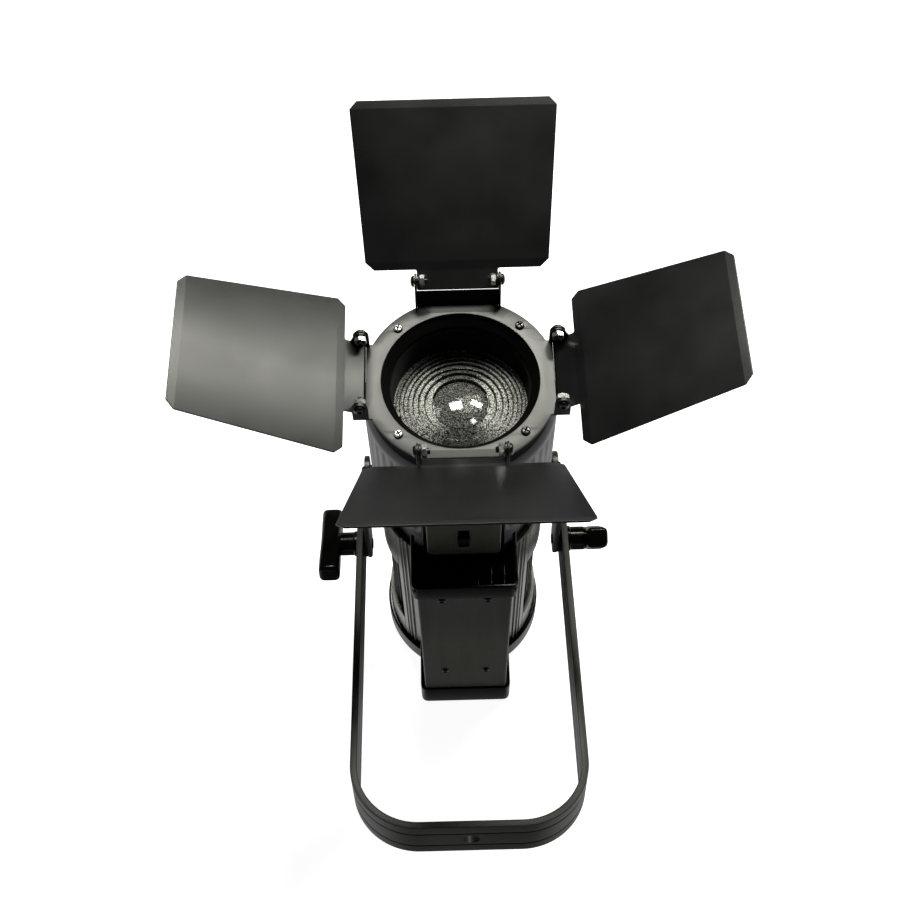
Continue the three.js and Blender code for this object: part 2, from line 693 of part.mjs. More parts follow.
// Upright ear with a round top, drawn about the hinge axis, its inner face at the given x.
function hingeEar(outline, innerX, sign) {
  const plate = extruded(outline, SHEET);
  plate.rotateX(Math.PI / 2);
  plate.rotateZ(Math.PI / 2);
  plate.translate(sign > 0 ? innerX : -innerX - SHEET, 0, 0);
  return plate;
}

function earOutline(radius, foot) {
  const ear = new THREE.Shape();
  ear.moveTo(foot[0][0], foot[0][1]);
  foot.slice(1).forEach(([y, z]) => ear.lineTo(y, z));
  ear.lineTo(radius, 0);
  ear.absarc(0, 0, radius, 0, Math.PI, false);
  return ear;
}

function leafOutline({ near, far, reach }) {
  const c = LEAF_CHAMFER;
  const slope = (far - near) / (reach - LEAF_NEAR);
  const right = [
    [TAB_HALF, -LEAF_INNER], [TAB_HALF, LEAF_NEAR], [near - c, LEAF_NEAR],
    [near + slope * c, LEAF_NEAR + c], [far - slope * c, reach - c], [far - c, reach],
  ];
  const left = right.map(([x, y]) => [-x, y]).reverse();
  return polygon([...right, ...left]);
}

// Sheet below the hinge axis, with an ear at each end of its tab.
function leaf(side) {
  const sheet = extruded(leafOutline(side.leaf), SHEET);
  sheet.translate(0, 0, -LEAF_DROP - SHEET / 2);
  let solid = toSolid(sheet);
  const outline = earOutline(LEAF_EAR_R, [[-LEAF_EAR_R, -LEAF_DROP], [LEAF_EAR_R, -LEAF_DROP]]);
  for (const sign of [-1, 1]) {
    solid = solid.add(toSolid(hingeEar(outline, LEAF_EAR_X, sign)));
  }
  const bore = discX(HINGE_SCREW_R + GAP, -TAB_HALF - 1, TAB_HALF + 1, 12);
  const geometry = toGeometry(solid.subtract(toSolid(bore)));
  geometry.rotateX(side.open * DEG);
  return carryToSide(geometry, side);
}

// Hinge screw: a button head outside the frame's ear and a shank through both ears.
function hingeScrew(side, sign) {
  const head = FRAME_EAR_X + SHEET + GAP;
  const tip = LEAF_EAR_X - GAP - HINGE_NUT_T - 1.9;
  const geometry = turnedSolid([
    [0, tip], [HINGE_SCREW_R, tip], [HINGE_SCREW_R, head], [3.75, head],
    [3.4, head + 1.4], [2, head + 2.2], [0, head + 2.4],
  ], 12);
  geometry.rotateY(sign * Math.PI / 2);
  return carryToSide(geometry, side);
}

function hingeNut(side, sign) {
  const high = LEAF_EAR_X - GAP;
  const nut = ring(HINGE_SCREW_R + GAP, HINGE_NUT_R, high - HINGE_NUT_T, high, 6);
  nut.rotateZ(Math.PI / 6);
  nut.rotateY(sign * Math.PI / 2);
  return carryToSide(nut, side);
}

// Ring plate with four flats. The left and right flats are tabs that reach out to the ears.
function framePlate() {
  const low = PLATE_TOP - PLATE_T;
  const tab = FRAME_EAR_X + SHEET;
  const cut = box([-PLATE_R, -FLAT_Y, low], [PLATE_R, FLAT_Y, PLATE_TOP]);
  const tabs = box([-FLAT_X, -tab, low], [FLAT_X, tab, PLATE_TOP]);
  const inner = box([-FLAT_X, -FLAT_Y, low], [FLAT_X, FLAT_Y, PLATE_TOP]);
  const rim = toSolid(disc(PLATE_R, low, PLATE_TOP, 48)).intersect(toSolid(cut));
  return rim.intersect(toSolid(inner)).add(toSolid(tabs));
}

// Strip along a flat between its two ears, leaning outwards: tall at the high hinges.
function hingeFlange(side) {
  const edge = -side.axis.out;
  const foot = -side.axis.up - PLATE_T;
  const { lean, rise } = side.axis.flange;
  const section = polygon([
    [edge - 1, foot + 0.6], [edge, foot], [edge + 1.2, foot], [edge + lean + 1.2, foot + rise],
    [edge + lean, foot + rise],
  ]);
  const half = FRAME_EAR_X + SHEET;
  const strip = extruded(section, 2 * half);
  strip.rotateX(Math.PI / 2);
  strip.rotateZ(Math.PI / 2);
  strip.translate(-half, 0, 0);
  return carryToSide(strip, side);
}

function barndoorFrame() {
  let solid = framePlate();
  for (const side of SIDES) {
    const foot = -side.axis.up - PLATE_T;
    const outline = earOutline(FRAME_EAR_R, side.axis.foot.map(([y, z]) => [y, foot + z]));
    for (const sign of [-1, 1]) {
      const ear = carryToSide(hingeEar(outline, FRAME_EAR_X, sign), side);
      solid = solid.add(toSolid(ear));
    }
    solid = solid.add(toSolid(hingeFlange(side)));
    const reach = FRAME_EAR_X + 3;
    const pin = carryToSide(discX(HINGE_SCREW_R + GAP, -reach, reach, 12), side);
    solid = solid.subtract(toSolid(pin));
  }
  solid = solid.subtract(toSolid(disc(BORE_R, PLATE_TOP - 5, PLATE_TOP + 1, 48)));
  for (const [x, y] of frameScrewPlaces()) {
    const hole = disc(FRAME_SCREW.shank + GAP, PLATE_TOP - 5, PLATE_TOP + 1, 12);
    hole.translate(x, y, 0);
    solid = solid.subtract(toSolid(hole));
  }
  return toGeometry(solid);
}

function frameScrewPlaces() {
  return [45, 135, 225, 315].map((angle) => [
    FRAME_SCREW_R * Math.cos(angle * DEG), FRAME_SCREW_R * Math.sin(angle * DEG),
  ]);
}

// Pan-head screw pointing down -Z, head underside at z = 0.
function panScrew({ head, shank, length }) {
  return turnedSolid([
    [0, -length], [shank, -length], [shank, 0], [head, 0], [head, head * 0.35],
    [head * 0.7, head * 0.62], [0, head * 0.7],
  ], 12);
}

// ---- assembly ----
const group = new THREE.Group();

add(group, 'heatsink_housing', heatsinkHousing(), BLACK_ANODISED());
add(group, 'rear_cover', rearCover(), BLACK_PLASTIC());
add(group, 'front_barrel', frontBarrel(), BLACK_ANODISED());
add(group, 'front_collar', frontCollar(), BLACK_PAINT());
add(group, 'lens_baffle', lensBaffle(), BLACK_PAINT());
add(group, 'fresnel_lens', fresnelLens(), GLASS());
add(group, 'lens_retainer', lensRetainer(), BLACK_PAINT());
add(group, 'lamp_carriage', lampCarriage(), BARE_ALUMINIUM());
add(group, 'led_module', ledModule(), metal(0xe8d98a, 0.5, 0));
add(group, 'reflector', reflector(), BARE_ALUMINIUM());
add(group, 'cooling_core', coolingCore(), BARE_ALUMINIUM());
add(group, 'guide_rod_left', guideRod(-1), BARE_ALUMINIUM());
add(group, 'guide_rod_right', guideRod(1), BARE_ALUMINIUM());
add(group, 'driver_housing', driverHousing(), BLACK_ANODISED());
add(group, 'driver_front_cap', driverFrontCap(), BLACK_PLASTIC());
add(group, 'driver_rear_cap', driverRearCap(), BLACK_PLASTIC());
add(group, 'power_inlet', powerInlet(), BLACK_PLASTIC());
add(group, 'led_driver', ledDriver(), BARE_ALUMINIUM());
add(group, 'focus_housing', focusHousing(), BLACK_ANODISED());
add(group, 'focus_slider', focusSlider(), BLACK_PLASTIC());
add(group, 'yoke', yoke(), BLACK_ANODISED());

for (const [label, side] of [['left', -1], ['right', 1]]) {
  add(group, `side_bracket_${label}`, sideBracket(side), BLACK_PAINT());
  add(group, `pivot_washer_${label}`, pivotWasher(side), BLACK_PLASTIC());
}
add(group, 'knob_left', tightenKnob(-1, KNOB_TURN_LEFT), BLACK_PLASTIC());
add(group, 'knob_right', tightenKnob(1, KNOB_TURN_RIGHT), BLACK_PLASTIC());

add(group, 'barndoor_frame', barndoorFrame(), BLACK_PAINT());
for (const side of SIDES) {
  add(group, `leaf_${side.name}`, leaf(side), BLACK_PAINT());
  for (const [end, sign] of [['a', 1], ['b', -1]]) {
    add(group, `hinge_screw_${side.name}_${end}`, hingeScrew(side, sign), BLACK_PAINT());
    add(group, `hinge_nut_${side.name}_${end}`, hingeNut(side, sign), ZINC());
  }
}

for (const [label, side] of [['left', -1], ['right', 1]]) {
  BRACKET_SCREW_Z.forEach((z, i) => {
    const name = `bracket_screw_${label}_${i + 1}`;
    const screw = add(group, name, panScrew(BRACKET_SCREW), BLACK_PAINT());
    screw.rotation.y = (side * Math.PI) / 2;
    screw.position.set(side * (BRACKET_X_TOP + BRACKET_T + GAP), 0, z);
  });
}
boxScrewPlaces().forEach(([x, z], i) => {
  const screw = add(group, `box_screw_${i + 1}`, panScrew(BOX_SCREW), BLACK_PAINT());
  screw.rotation.x = Math.PI / 2;
  screw.position.set(x, BOX_FRONT - GAP, z);
});
frameScrewPlaces().forEach(([x, y], i) => {
  const screw = add(group, `frame_screw_${i + 1}`, panScrew(FRAME_SCREW), ZINC());
  screw.position.set(x, y, PLATE_TOP + GAP);
});

export default group;
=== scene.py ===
"""Compact theatre fresnel spotlight: the looks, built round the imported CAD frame.

Everything is in metres in the frame's own axes: +Z is the optical axis and -Y the belly side.
Shapes are drawn in millimetres and scaled once, when their mesh is made.
"""

import math

import bmesh
import bpy
from mathutils import Matrix, Vector


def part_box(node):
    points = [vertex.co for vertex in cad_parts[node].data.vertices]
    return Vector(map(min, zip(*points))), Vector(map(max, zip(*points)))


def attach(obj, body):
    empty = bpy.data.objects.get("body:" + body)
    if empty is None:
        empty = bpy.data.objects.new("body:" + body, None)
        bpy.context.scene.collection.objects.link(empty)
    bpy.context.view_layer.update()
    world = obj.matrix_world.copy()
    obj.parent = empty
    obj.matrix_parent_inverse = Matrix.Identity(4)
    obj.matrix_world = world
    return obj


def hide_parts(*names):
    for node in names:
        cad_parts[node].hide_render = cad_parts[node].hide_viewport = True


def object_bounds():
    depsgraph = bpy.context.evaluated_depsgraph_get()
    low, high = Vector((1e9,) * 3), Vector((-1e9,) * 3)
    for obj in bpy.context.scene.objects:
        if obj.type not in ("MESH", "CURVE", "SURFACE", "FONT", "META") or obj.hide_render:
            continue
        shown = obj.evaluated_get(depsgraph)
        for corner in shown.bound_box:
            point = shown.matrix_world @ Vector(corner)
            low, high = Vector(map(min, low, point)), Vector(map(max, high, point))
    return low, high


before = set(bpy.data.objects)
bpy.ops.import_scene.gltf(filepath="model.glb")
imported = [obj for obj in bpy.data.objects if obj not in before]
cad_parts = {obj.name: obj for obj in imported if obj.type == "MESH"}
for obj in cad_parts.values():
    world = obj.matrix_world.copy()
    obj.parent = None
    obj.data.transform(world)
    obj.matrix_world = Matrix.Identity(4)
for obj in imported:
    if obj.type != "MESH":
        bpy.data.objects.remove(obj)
cad_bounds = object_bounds()

MM = 0.001
TAU = 2 * math.pi


def mm(node, corner, axis):
    """One coordinate of a CAD node's box, in millimetres: corner 0 is the lowest, 1 the highest."""
    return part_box(node)[corner][axis] / MM


# ---- driving dimensions, in millimetres ----
SIDES = (("left", -1), ("right", 1))

RIM_R = mm("rear_cover", 1, 0)
RIM_TOP = mm("rear_cover", 1, 2)
HEATSINK_R = mm("heatsink_housing", 1, 0)
HEATSINK_LOW = mm("heatsink_housing", 0, 2)
HEATSINK_TOP = mm("heatsink_housing", 1, 2)
HEATSINK_BORE = 55.2
PLAIN_LOW = 30            # between these heights the belly and the back keep their full radius
PLAIN_HIGH = 200
WINDOW_LOW = 52
WINDOW_HIGH = 157
WINDOW_EDGE = 54          # degrees from the belly at which the side windows start

BARREL_R = mm("front_barrel", 1, 0)
BARREL_TOP = mm("front_barrel", 1, 2)
FLOOR_LOW = mm("front_barrel", 0, 2)
NECK_R = 54
BARREL_LOW = 252

PLATE_T = 1.6
COLLAR_TOP = mm("front_collar", 1, 2)
PLATE_TOP = COLLAR_TOP + 0.3 + PLATE_T
COLLAR_R = mm("front_collar", 1, 0)
PLATE_R = 61.8
BORE_R = 50
FLAT_X = 59.4
FLAT_Y = 56.4
FRAME_SCREW_R = 55.3
BAFFLE_R = 44.7
BEVEL_LOW = PLATE_TOP - 7
LENS_TOP = mm("fresnel_lens", 1, 2)
LENS_LOW = mm("fresnel_lens", 0, 2)
LENS_R = mm("fresnel_lens", 1, 0)

ABOVE_ALL = 400           # height at which a cutter ends that has to pass its piece's top
BOX_HALF = mm("driver_housing", 1, 0)
BOX_FRONT = mm("driver_housing", 0, 1)
BOX_LOW = mm("driver_housing", 0, 2)
BOX_HIGH = mm("driver_housing", 1, 2)
CAP_HALF = mm("driver_front_cap", 1, 0)
CAP_FRONT = mm("driver_front_cap", 0, 1)
CAP_TOP = mm("driver_front_cap", 1, 2)
FOCUS_HALF = mm("focus_housing", 1, 0)
FOCUS_FRONT = mm("focus_housing", 0, 1)
FOCUS_LOW = mm("focus_housing", 0, 2)
FOCUS_HIGH = mm("focus_housing", 1, 2)
CAP_BACK = -36
CAP_CORNER = 6
TRAY_WALL = 2.6
TRAY_FLOOR = 6
SLOT_HALF = 3.7
SLOT_LOW = 254
SLOT_HIGH = 280

PIVOT_Z = 121.75
YOKE_RISE = 9.6
YOKE_OUT = mm("yoke", 1, 0)
YOKE_T = 5
YOKE_W = 40
YOKE_LENGTH = 243.3
YOKE_BEND_R = 47
HANGING_HOLE_R = 6
BRACKET_T = 3.5
BRACKET_W = 22
BRACKET_TOP = mm("side_bracket_right", 1, 2)
BRACKET_X_TOP = 64.7
BRACKET_X_LOW = 71
STUD_R = 4

SHEET = 1.2
LEAF_NEAR = 8.2
LEAF_CHAMFER = 5.2
LEAF_DROP = 6.85
LEAF_INNER = 5.05
TAB_HALF = 26.1
LEAF_EAR_R = 4.6
FRAME_EAR_R = 5
GAP = 0.3
WIDE_LEAF = (58.7, 67.2, 117.2)      # half width at the hinge, half width at the free edge, reach
NARROW_LEAF = (57, 47.2, 116.3)
LOW_AXIS = (2.75, 11.3)              # hinge axis: out from the frame's flat, and up from its face
HIGH_AXIS = (5.8, 19.3)
FLANGE = {LOW_AXIS: (1.2, 3.4), HIGH_AXIS: (5.2, 10)}       # lean and rise of the strip below it
EAR_FOOT = {LOW_AXIS: ((-5, 0), (5, 0)), HIGH_AXIS: ((-9.8, 0), (-5.3, 0), (5, 5))}
HINGES = (
    # name, turn about Z, distance of the flat, hinge axis, leaf, opening angle
    ("upper", 0, FLAT_Y, HIGH_AXIS, WIDE_LEAF, 30.2),
    ("left", 90, FLAT_X, LOW_AXIS, NARROW_LEAF, 24.3),
    ("lower", 180, FLAT_Y, HIGH_AXIS, WIDE_LEAF, 45.6),
    ("right", 270, FLAT_X, LOW_AXIS, NARROW_LEAF, 30.4),
)


# ---- camera ----
def make_camera():
    elevation = math.radians(60.85)
    azimuth = math.radians(0.066)
    roll = math.radians(-1.529)
    forward = Vector((
        -math.sin(azimuth) * math.cos(elevation),
        math.cos(azimuth) * math.cos(elevation),
        -math.sin(elevation),
    ))
    right = forward.cross(Vector((0, 0, 1))).normalized()
    up = right.cross(forward)
    right, up = (
        right * math.cos(roll) + up * math.sin(roll),
        up * math.cos(roll) - right * math.sin(roll),
    )
    data = bpy.data.cameras.new("camera")
    data.sensor_width = 36
    data.lens = 51.69
    camera = bpy.data.objects.new("camera", data)
    rotation = Matrix((right, up, -forward)).transposed()
    camera.matrix_world = Matrix.Translation((-0.0072, -0.4341, 1.0480)) @ rotation.to_4x4()
    bpy.context.scene.collection.objects.link(camera)
    bpy.context.scene.camera = camera


make_camera()


# ---- mesh tools ----
def build(bm):
    bmesh.ops.remove_doubles(bm, verts=bm.verts, dist=1e-5)
    bmesh.ops.dissolve_degenerate(bm, edges=bm.edges, dist=1e-5)
    bmesh.ops.recalc_face_normals(bm, faces=bm.faces)
    mesh = bpy.data.meshes.new("shape")
    bm.to_mesh(mesh)
    bm.free()
    return mesh


def temporary(data):
    obj = bpy.data.objects.new("temporary", data)
    bpy.context.scene.collection.objects.link(obj)
    return obj


def evaluated(obj):
    """The object's final mesh; the object itself is removed."""
    bpy.context.view_layer.update()
    graph = bpy.context.evaluated_depsgraph_get()
    mesh = bpy.data.meshes.new_from_object(obj.evaluated_get(graph))
    bpy.data.objects.remove(obj)
    return mesh


def moved(mesh, *matrices):
    """The mesh after each transform in turn."""
    for matrix in matrices:
        mesh.transform(matrix)
        if matrix.determinant() < 0:
            mesh.flip_normals()
    return mesh


def sine(degrees):
    return math.sin(math.radians(degrees))


def cosine(degrees):
    return math.cos(math.radians(degrees))


def signed_power(value, power):
    return math.copysign(abs(value) ** power, value)


def turn(degrees, axis):
    return Matrix.Rotation(math.radians(degrees), 4, axis)


def shift(x, y, z):
    return Matrix.Translation((x, y, z))


def joined(*meshes):
    bm = bmesh.new()
    for mesh in meshes:
        bm.from_mesh(mesh)
        bpy.data.meshes.remove(mesh)
    mesh = bpy.data.meshes.new("shape")
    bm.to_mesh(mesh)
    bm.free()
    return mesh


def combine(mesh, other, operation="DIFFERENCE"):
    """Boolean of two closed meshes."""
    target = temporary(mesh)
    tool = temporary(other)
    modifier = target.modifiers.new("boolean", "BOOLEAN")
    modifier.operation = operation
    modifier.solver = "EXACT"
    modifier.object = tool
    result = evaluated(target)
    bpy.data.objects.remove(tool)
    return result


def bevelled(mesh, width, segments=2, limit=35):
    obj = temporary(mesh)
    modifier = obj.modifiers.new("bevel", "BEVEL")
    modifier.width = width
    modifier.segments = segments
    modifier.limit_method = "ANGLE"
    modifier.angle_limit = math.radians(limit)
    return evaluated(obj)


def box(low, high):
    bm = bmesh.new()
    bmesh.ops.create_cube(bm, size=1)
    size = [b - a for a, b in zip(low, high)]
    middle = [(a + b) / 2 for a, b in zip(low, high)]
    bmesh.ops.scale(bm, vec=size, verts=bm.verts)
    bmesh.ops.translate(bm, vec=middle, verts=bm.verts)
    return build(bm)


def rounded(points, radius, steps=4):
    """The closed outline with each corner rounded. A point may carry its own radius."""
    result = []
    count = len(points)
    for i, point in enumerate(points):
        here = Vector(point[:2])
        own = point[2] if len(point) > 2 else radius
        before = Vector(points[i - 1][:2]) - here
        after = Vector(points[(i + 1) % count][:2]) - here
        turned = abs(math.pi - before.angle(after, math.pi))
        if own <= 0 or turned < 0.02:
            result.append(tuple(here))
            continue
        cut = min(own * math.tan(turned / 2), before.length * 0.45, after.length * 0.45)
        start = here + before.normalized() * cut
        end = here + after.normalized() * cut
        for k in range(steps + 1):
            t = k / steps
            result.append(tuple((1 - t) ** 2 * start + 2 * t * (1 - t) * here + t * t * end))
    return result


def circle(radius, count=48, centre=(0, 0)):
    return [
        (
            centre[0] + radius * math.cos(TAU * i / count),
            centre[1] + radius * math.sin(TAU * i / count),
        )
        for i in range(count)
    ]


def lathe(profile, segments=128, closed=True, shape=None):
    """Profile of (radius, z) points turned about Z. shape(angle, r, z) may change a radius;
    its angle is in degrees from the belly side."""
    bm = bmesh.new()
    columns = []
    for i in range(segments):
        angle = TAU * i / segments
        column = []
        for r, z in profile:
            if shape:
                r = shape(math.degrees(angle), r, z)
            column.append(bm.verts.new((r * math.sin(angle), -r * math.cos(angle), z)))
        columns.append(column)
    last = len(profile) if closed else len(profile) - 1
    for i in range(segments):
        a, b = columns[i], columns[(i + 1) % segments]
        for k in range(last):
            j = (k + 1) % len(profile)
            bm.faces.new((a[k], b[k], b[j], a[j]))
    return build(bm)


def loft(rings, wrap=False):
    """Rings of equally many points joined into one closed skin."""
    bm = bmesh.new()
    rows = [[bm.verts.new(p) for p in ring] for ring in rings]
    count = len(rings[0])
    pairs = list(zip(rows, rows[1:]))
    if wrap:
        pairs.append((rows[-1], rows[0]))
    for low, high in pairs:
        for i in range(count):
            j = (i + 1) % count
            bm.faces.new((low[i], low[j], high[j], high[i]))
    if not wrap:
        bm.faces.new(rows[0][::-1])
        bm.faces.new(rows[-1])
    return build(bm)


def plate(outlines, thickness, edge=0.25):
    """Flat sheet in the XY plane, centred on z = 0. The first outline is its edge, and the
    others are holes."""
    curve = bpy.data.curves.new("outline", "CURVE")
    curve.dimensions = "2D"
    curve.fill_mode = "BOTH"
    curve.extrude = thickness / 2 - edge
    curve.bevel_depth = edge
    curve.bevel_resolution = 2
    curve.offset = -edge
    for outline in outlines:
        spline = curve.splines.new("POLY")
        spline.points.add(len(outline) - 1)
        for point, (x, y) in zip(spline.points, outline):
            point.co = (x, y, 0, 1)
        spline.use_cyclic_u = True
    mesh = evaluated(temporary(curve))
    bm = bmesh.new()
    bm.from_mesh(mesh)
    bpy.data.meshes.remove(mesh)
    return build(bm)


def sweep(path, section, half_width, full_width):
    """Section of (thickness, width) points carried along the path.
    Each path entry is (point, thickness direction, width direction)."""
    rings = []
    for (point, across, along), half in zip(path, half_width):
        scale = half / (full_width / 2)
        rings.append([point + across * t + along * w * scale for t, w in section])
    return loft(rings)


def piece(name, mesh, material, slot, body, *nodes, smooth=32):
    """A finished piece: it gets its material, rides on its body and stands for its
    CAD nodes. Its slot argument is not used."""
    mesh.transform(Matrix.Scale(MM, 4))
    mesh.materials.clear()
    mesh.materials.append(material)
    mesh.polygons.foreach_set("use_smooth", [True] * len(mesh.polygons))
    mesh.polygons.foreach_set("material_index", [0] * len(mesh.polygons))
    mesh.set_sharp_from_angle(angle=math.radians(smooth))
    mesh.name = name
    obj = bpy.data.objects.new(name, mesh)
    bpy.context.scene.collection.objects.link(obj)
    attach(obj, body)
    if nodes:
        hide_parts(*nodes)
    return obj


# ---- materials ----
def set_range(node, start, end, low, high):
    """Sets a map range node to give low at start and high at end."""
    for key, value in (
        ("From Min", start), ("From Max", end), ("To Min", low), ("To Max", high),
    ):
        node.inputs[key].default_value = value


class Nodes:
    """A material being wired up."""

    def __init__(self, name):
        self.material = bpy.data.materials.new(name)
        self.material.use_nodes = True
        self.tree = self.material.node_tree
        self.shader = self.tree.nodes["Principled BSDF"]
        self.place = self.add("ShaderNodeTexCoord").outputs["Object"]

    def add(self, kind, **values):
        node = self.tree.nodes.new(kind)
        for key, value in values.items():
            setattr(node, key, value)
        return node

    def set(self, **values):
        for key, value in values.items():
            self.shader.inputs[key.replace("_", " ")].default_value = value

    def link(self, a, b):
        self.tree.links.new(a, b)

    def noise(self, size_mm, detail=2.0, stretch=None):
        """Noise whose grains are about size_mm across."""
        node = self.add("ShaderNodeTexNoise")
        node.inputs["Scale"].default_value = 1 / (size_mm * MM)
        node.inputs["Detail"].default_value = detail
        place = self.place
        if stretch:
            mapping = self.add("ShaderNodeMapping")
            mapping.inputs["Scale"].default_value = stretch
            self.link(place, mapping.inputs["Vector"])
            place = mapping.outputs["Vector"]
        self.link(place, node.inputs["Vector"])
        return node.outputs["Fac"]

    def between(self, factor, low, high, start=0.3, end=0.7):
        """A value from low to high as the factor goes from start to end."""
        node = self.add("ShaderNodeMapRange")
        set_range(node, start, end, low, high)
        self.link(factor, node.inputs["Value"])
        return node.outputs["Result"]

    def roughness(self, factor, low, high):
        self.link(self.between(factor, low, high), self.shader.inputs["Roughness"])

    def axes(self, vector):
        """The X, Y and Z of a vector."""
        node = self.add("ShaderNodeSeparateXYZ")
        self.link(vector, node.inputs[0])
        return node.outputs

    def colours(self, factor, low, high):
        node = self.add("ShaderNodeMix", data_type="RGBA")
        node.inputs["A"].default_value = (*low, 1)
        node.inputs["B"].default_value = (*high, 1)
        self.link(factor, node.inputs["Factor"])
        self.link(node.outputs["Result"], self.shader.inputs["Base Color"])

    def darken(self, mask, grey):
        """The base colour where the mask is 1, a dark grey where it is 0."""
        node = self.add("ShaderNodeMix", data_type="RGBA")
        node.inputs["A"].default_value = (grey, grey, grey, 1)
        self.link(self.shader.inputs["Base Color"].links[0].from_socket, node.inputs["B"])
        self.link(mask, node.inputs["Factor"])
        self.link(node.outputs["Result"], self.shader.inputs["Base Color"])

    def bump(self, height, distance_mm, strength=1.0):
        node = self.add("ShaderNodeBump")
        node.inputs["Distance"].default_value = distance_mm * MM
        node.inputs["Strength"].default_value = strength
        self.link(height, node.inputs["Height"])
        previous = self.shader.inputs["Normal"]
        if previous.is_linked:
            self.link(previous.links[0].from_socket, node.inputs["Normal"])
        self.link(node.outputs["Normal"], previous)


SHADOW_GREY = 0.004


def powder_coat(name, dark, light, roughness, specular=0.5, grain=0.55, height=0.02):
    """Fine-textured powder coat with faint cloudy smudges."""
    n = Nodes(name)
    smudge = n.noise(38, 4)
    n.colours(n.between(smudge, 0, 1), dark, light)
    n.roughness(smudge, roughness - 0.03, roughness + 0.05)
    n.set(Metallic=0.0, Specular_IOR_Level=specular)
    n.bump(n.noise(grain, 3), height)
    n.bump(n.noise(2.6, 2), 0.012)
    return n.material


def anodised(name, dark, light, roughness, painted_shade_radius=None, metallic=0.0, coat=0.0):
    """Black-anodised extrusion, satin, with faint lines along its length. Nearer to the optical
    axis than the given radius, in millimetres, its colour is darkened as painted shade in the
    grooves and windows. Where that radius is given, its sawn ends, which face up, are duller too."""
    n = Nodes(name)
    specular = 0.5
    n.set(Metallic=metallic, Specular_IOR_Level=specular, Coat_Weight=coat, Coat_Roughness=0.16)
    lines = n.noise(0.8, 2, stretch=(1, 1, 0.02))
    n.colours(n.between(lines, 0, 1), dark, light)
    if painted_shade_radius:
        x, y, _ = n.axes(n.place)
        flat = n.add("ShaderNodeCombineXYZ")
        n.link(x, flat.inputs["X"])
        n.link(y, flat.inputs["Y"])
        length = n.add("ShaderNodeVectorMath", operation="LENGTH")
        n.link(flat.outputs[0], length.inputs[0])
        blend = 0.3
        near, far = (painted_shade_radius - blend) * MM, (painted_shade_radius + blend) * MM
        # painted shade: the colour inside the grooves and windows falls to a shadow grey
        n.darken(n.between(length.outputs["Value"], 0, 1, near, far), SHADOW_GREY)
        upward = n.axes(n.add("ShaderNodeTexCoord").outputs["Normal"])["Z"]
        for socket, plain, sawn in (
            ("Metallic", metallic, 0.05),
            ("Coat Weight", coat, 0.0),
            ("Specular IOR Level", specular, 0.2),
        ):
            n.link(n.between(upward, plain, sawn), n.shader.inputs[socket])
    n.roughness(n.noise(30, 3), roughness - 0.05, roughness + 0.07)
    n.bump(lines, 0.008)
    n.bump(n.noise(0.35, 2), 0.006)
    return n.material


def moulded_plastic(name, dark, light, roughness, specular=0.5, grain=0.5, height=0.004):
    n = Nodes(name)
    n.colours(n.between(n.noise(22, 3), 0, 1), dark, light)
    n.roughness(n.noise(9, 4), roughness - 0.05, roughness + 0.1)
    n.set(Specular_IOR_Level=specular)
    n.bump(n.noise(grain, 2), height)
    return n.material


def plated(name, dark, light, roughness, recess=None):
    """Bright plating with fine turning marks. Below the recess height, in millimetres, its colour
    is darkened as painted shade in the cross recess and round the head's side."""
    n = Nodes(name)
    marks = n.noise(0.5, 3, stretch=(1, 1, 3))
    n.colours(n.between(marks, 0, 1), dark, light)
    if recess:
        blend = 0.15
        low, high = (recess - blend) * MM, (recess + blend) * MM
        # painted shade: the cross recess and the head's side below it fall to a shadow grey
        n.darken(n.between(n.axes(n.place)["Z"], 0, 1, low, high), SHADOW_GREY)
    n.roughness(n.noise(1.6, 2), roughness - 0.06, roughness + 0.12)
    n.set(Metallic=1.0)
    n.bump(marks, 0.01)
    return n.material


LENS_CENTRE = 18.3        # radius of the centre dome
LENS_FIRST = 23.3         # outer radius of the first ring


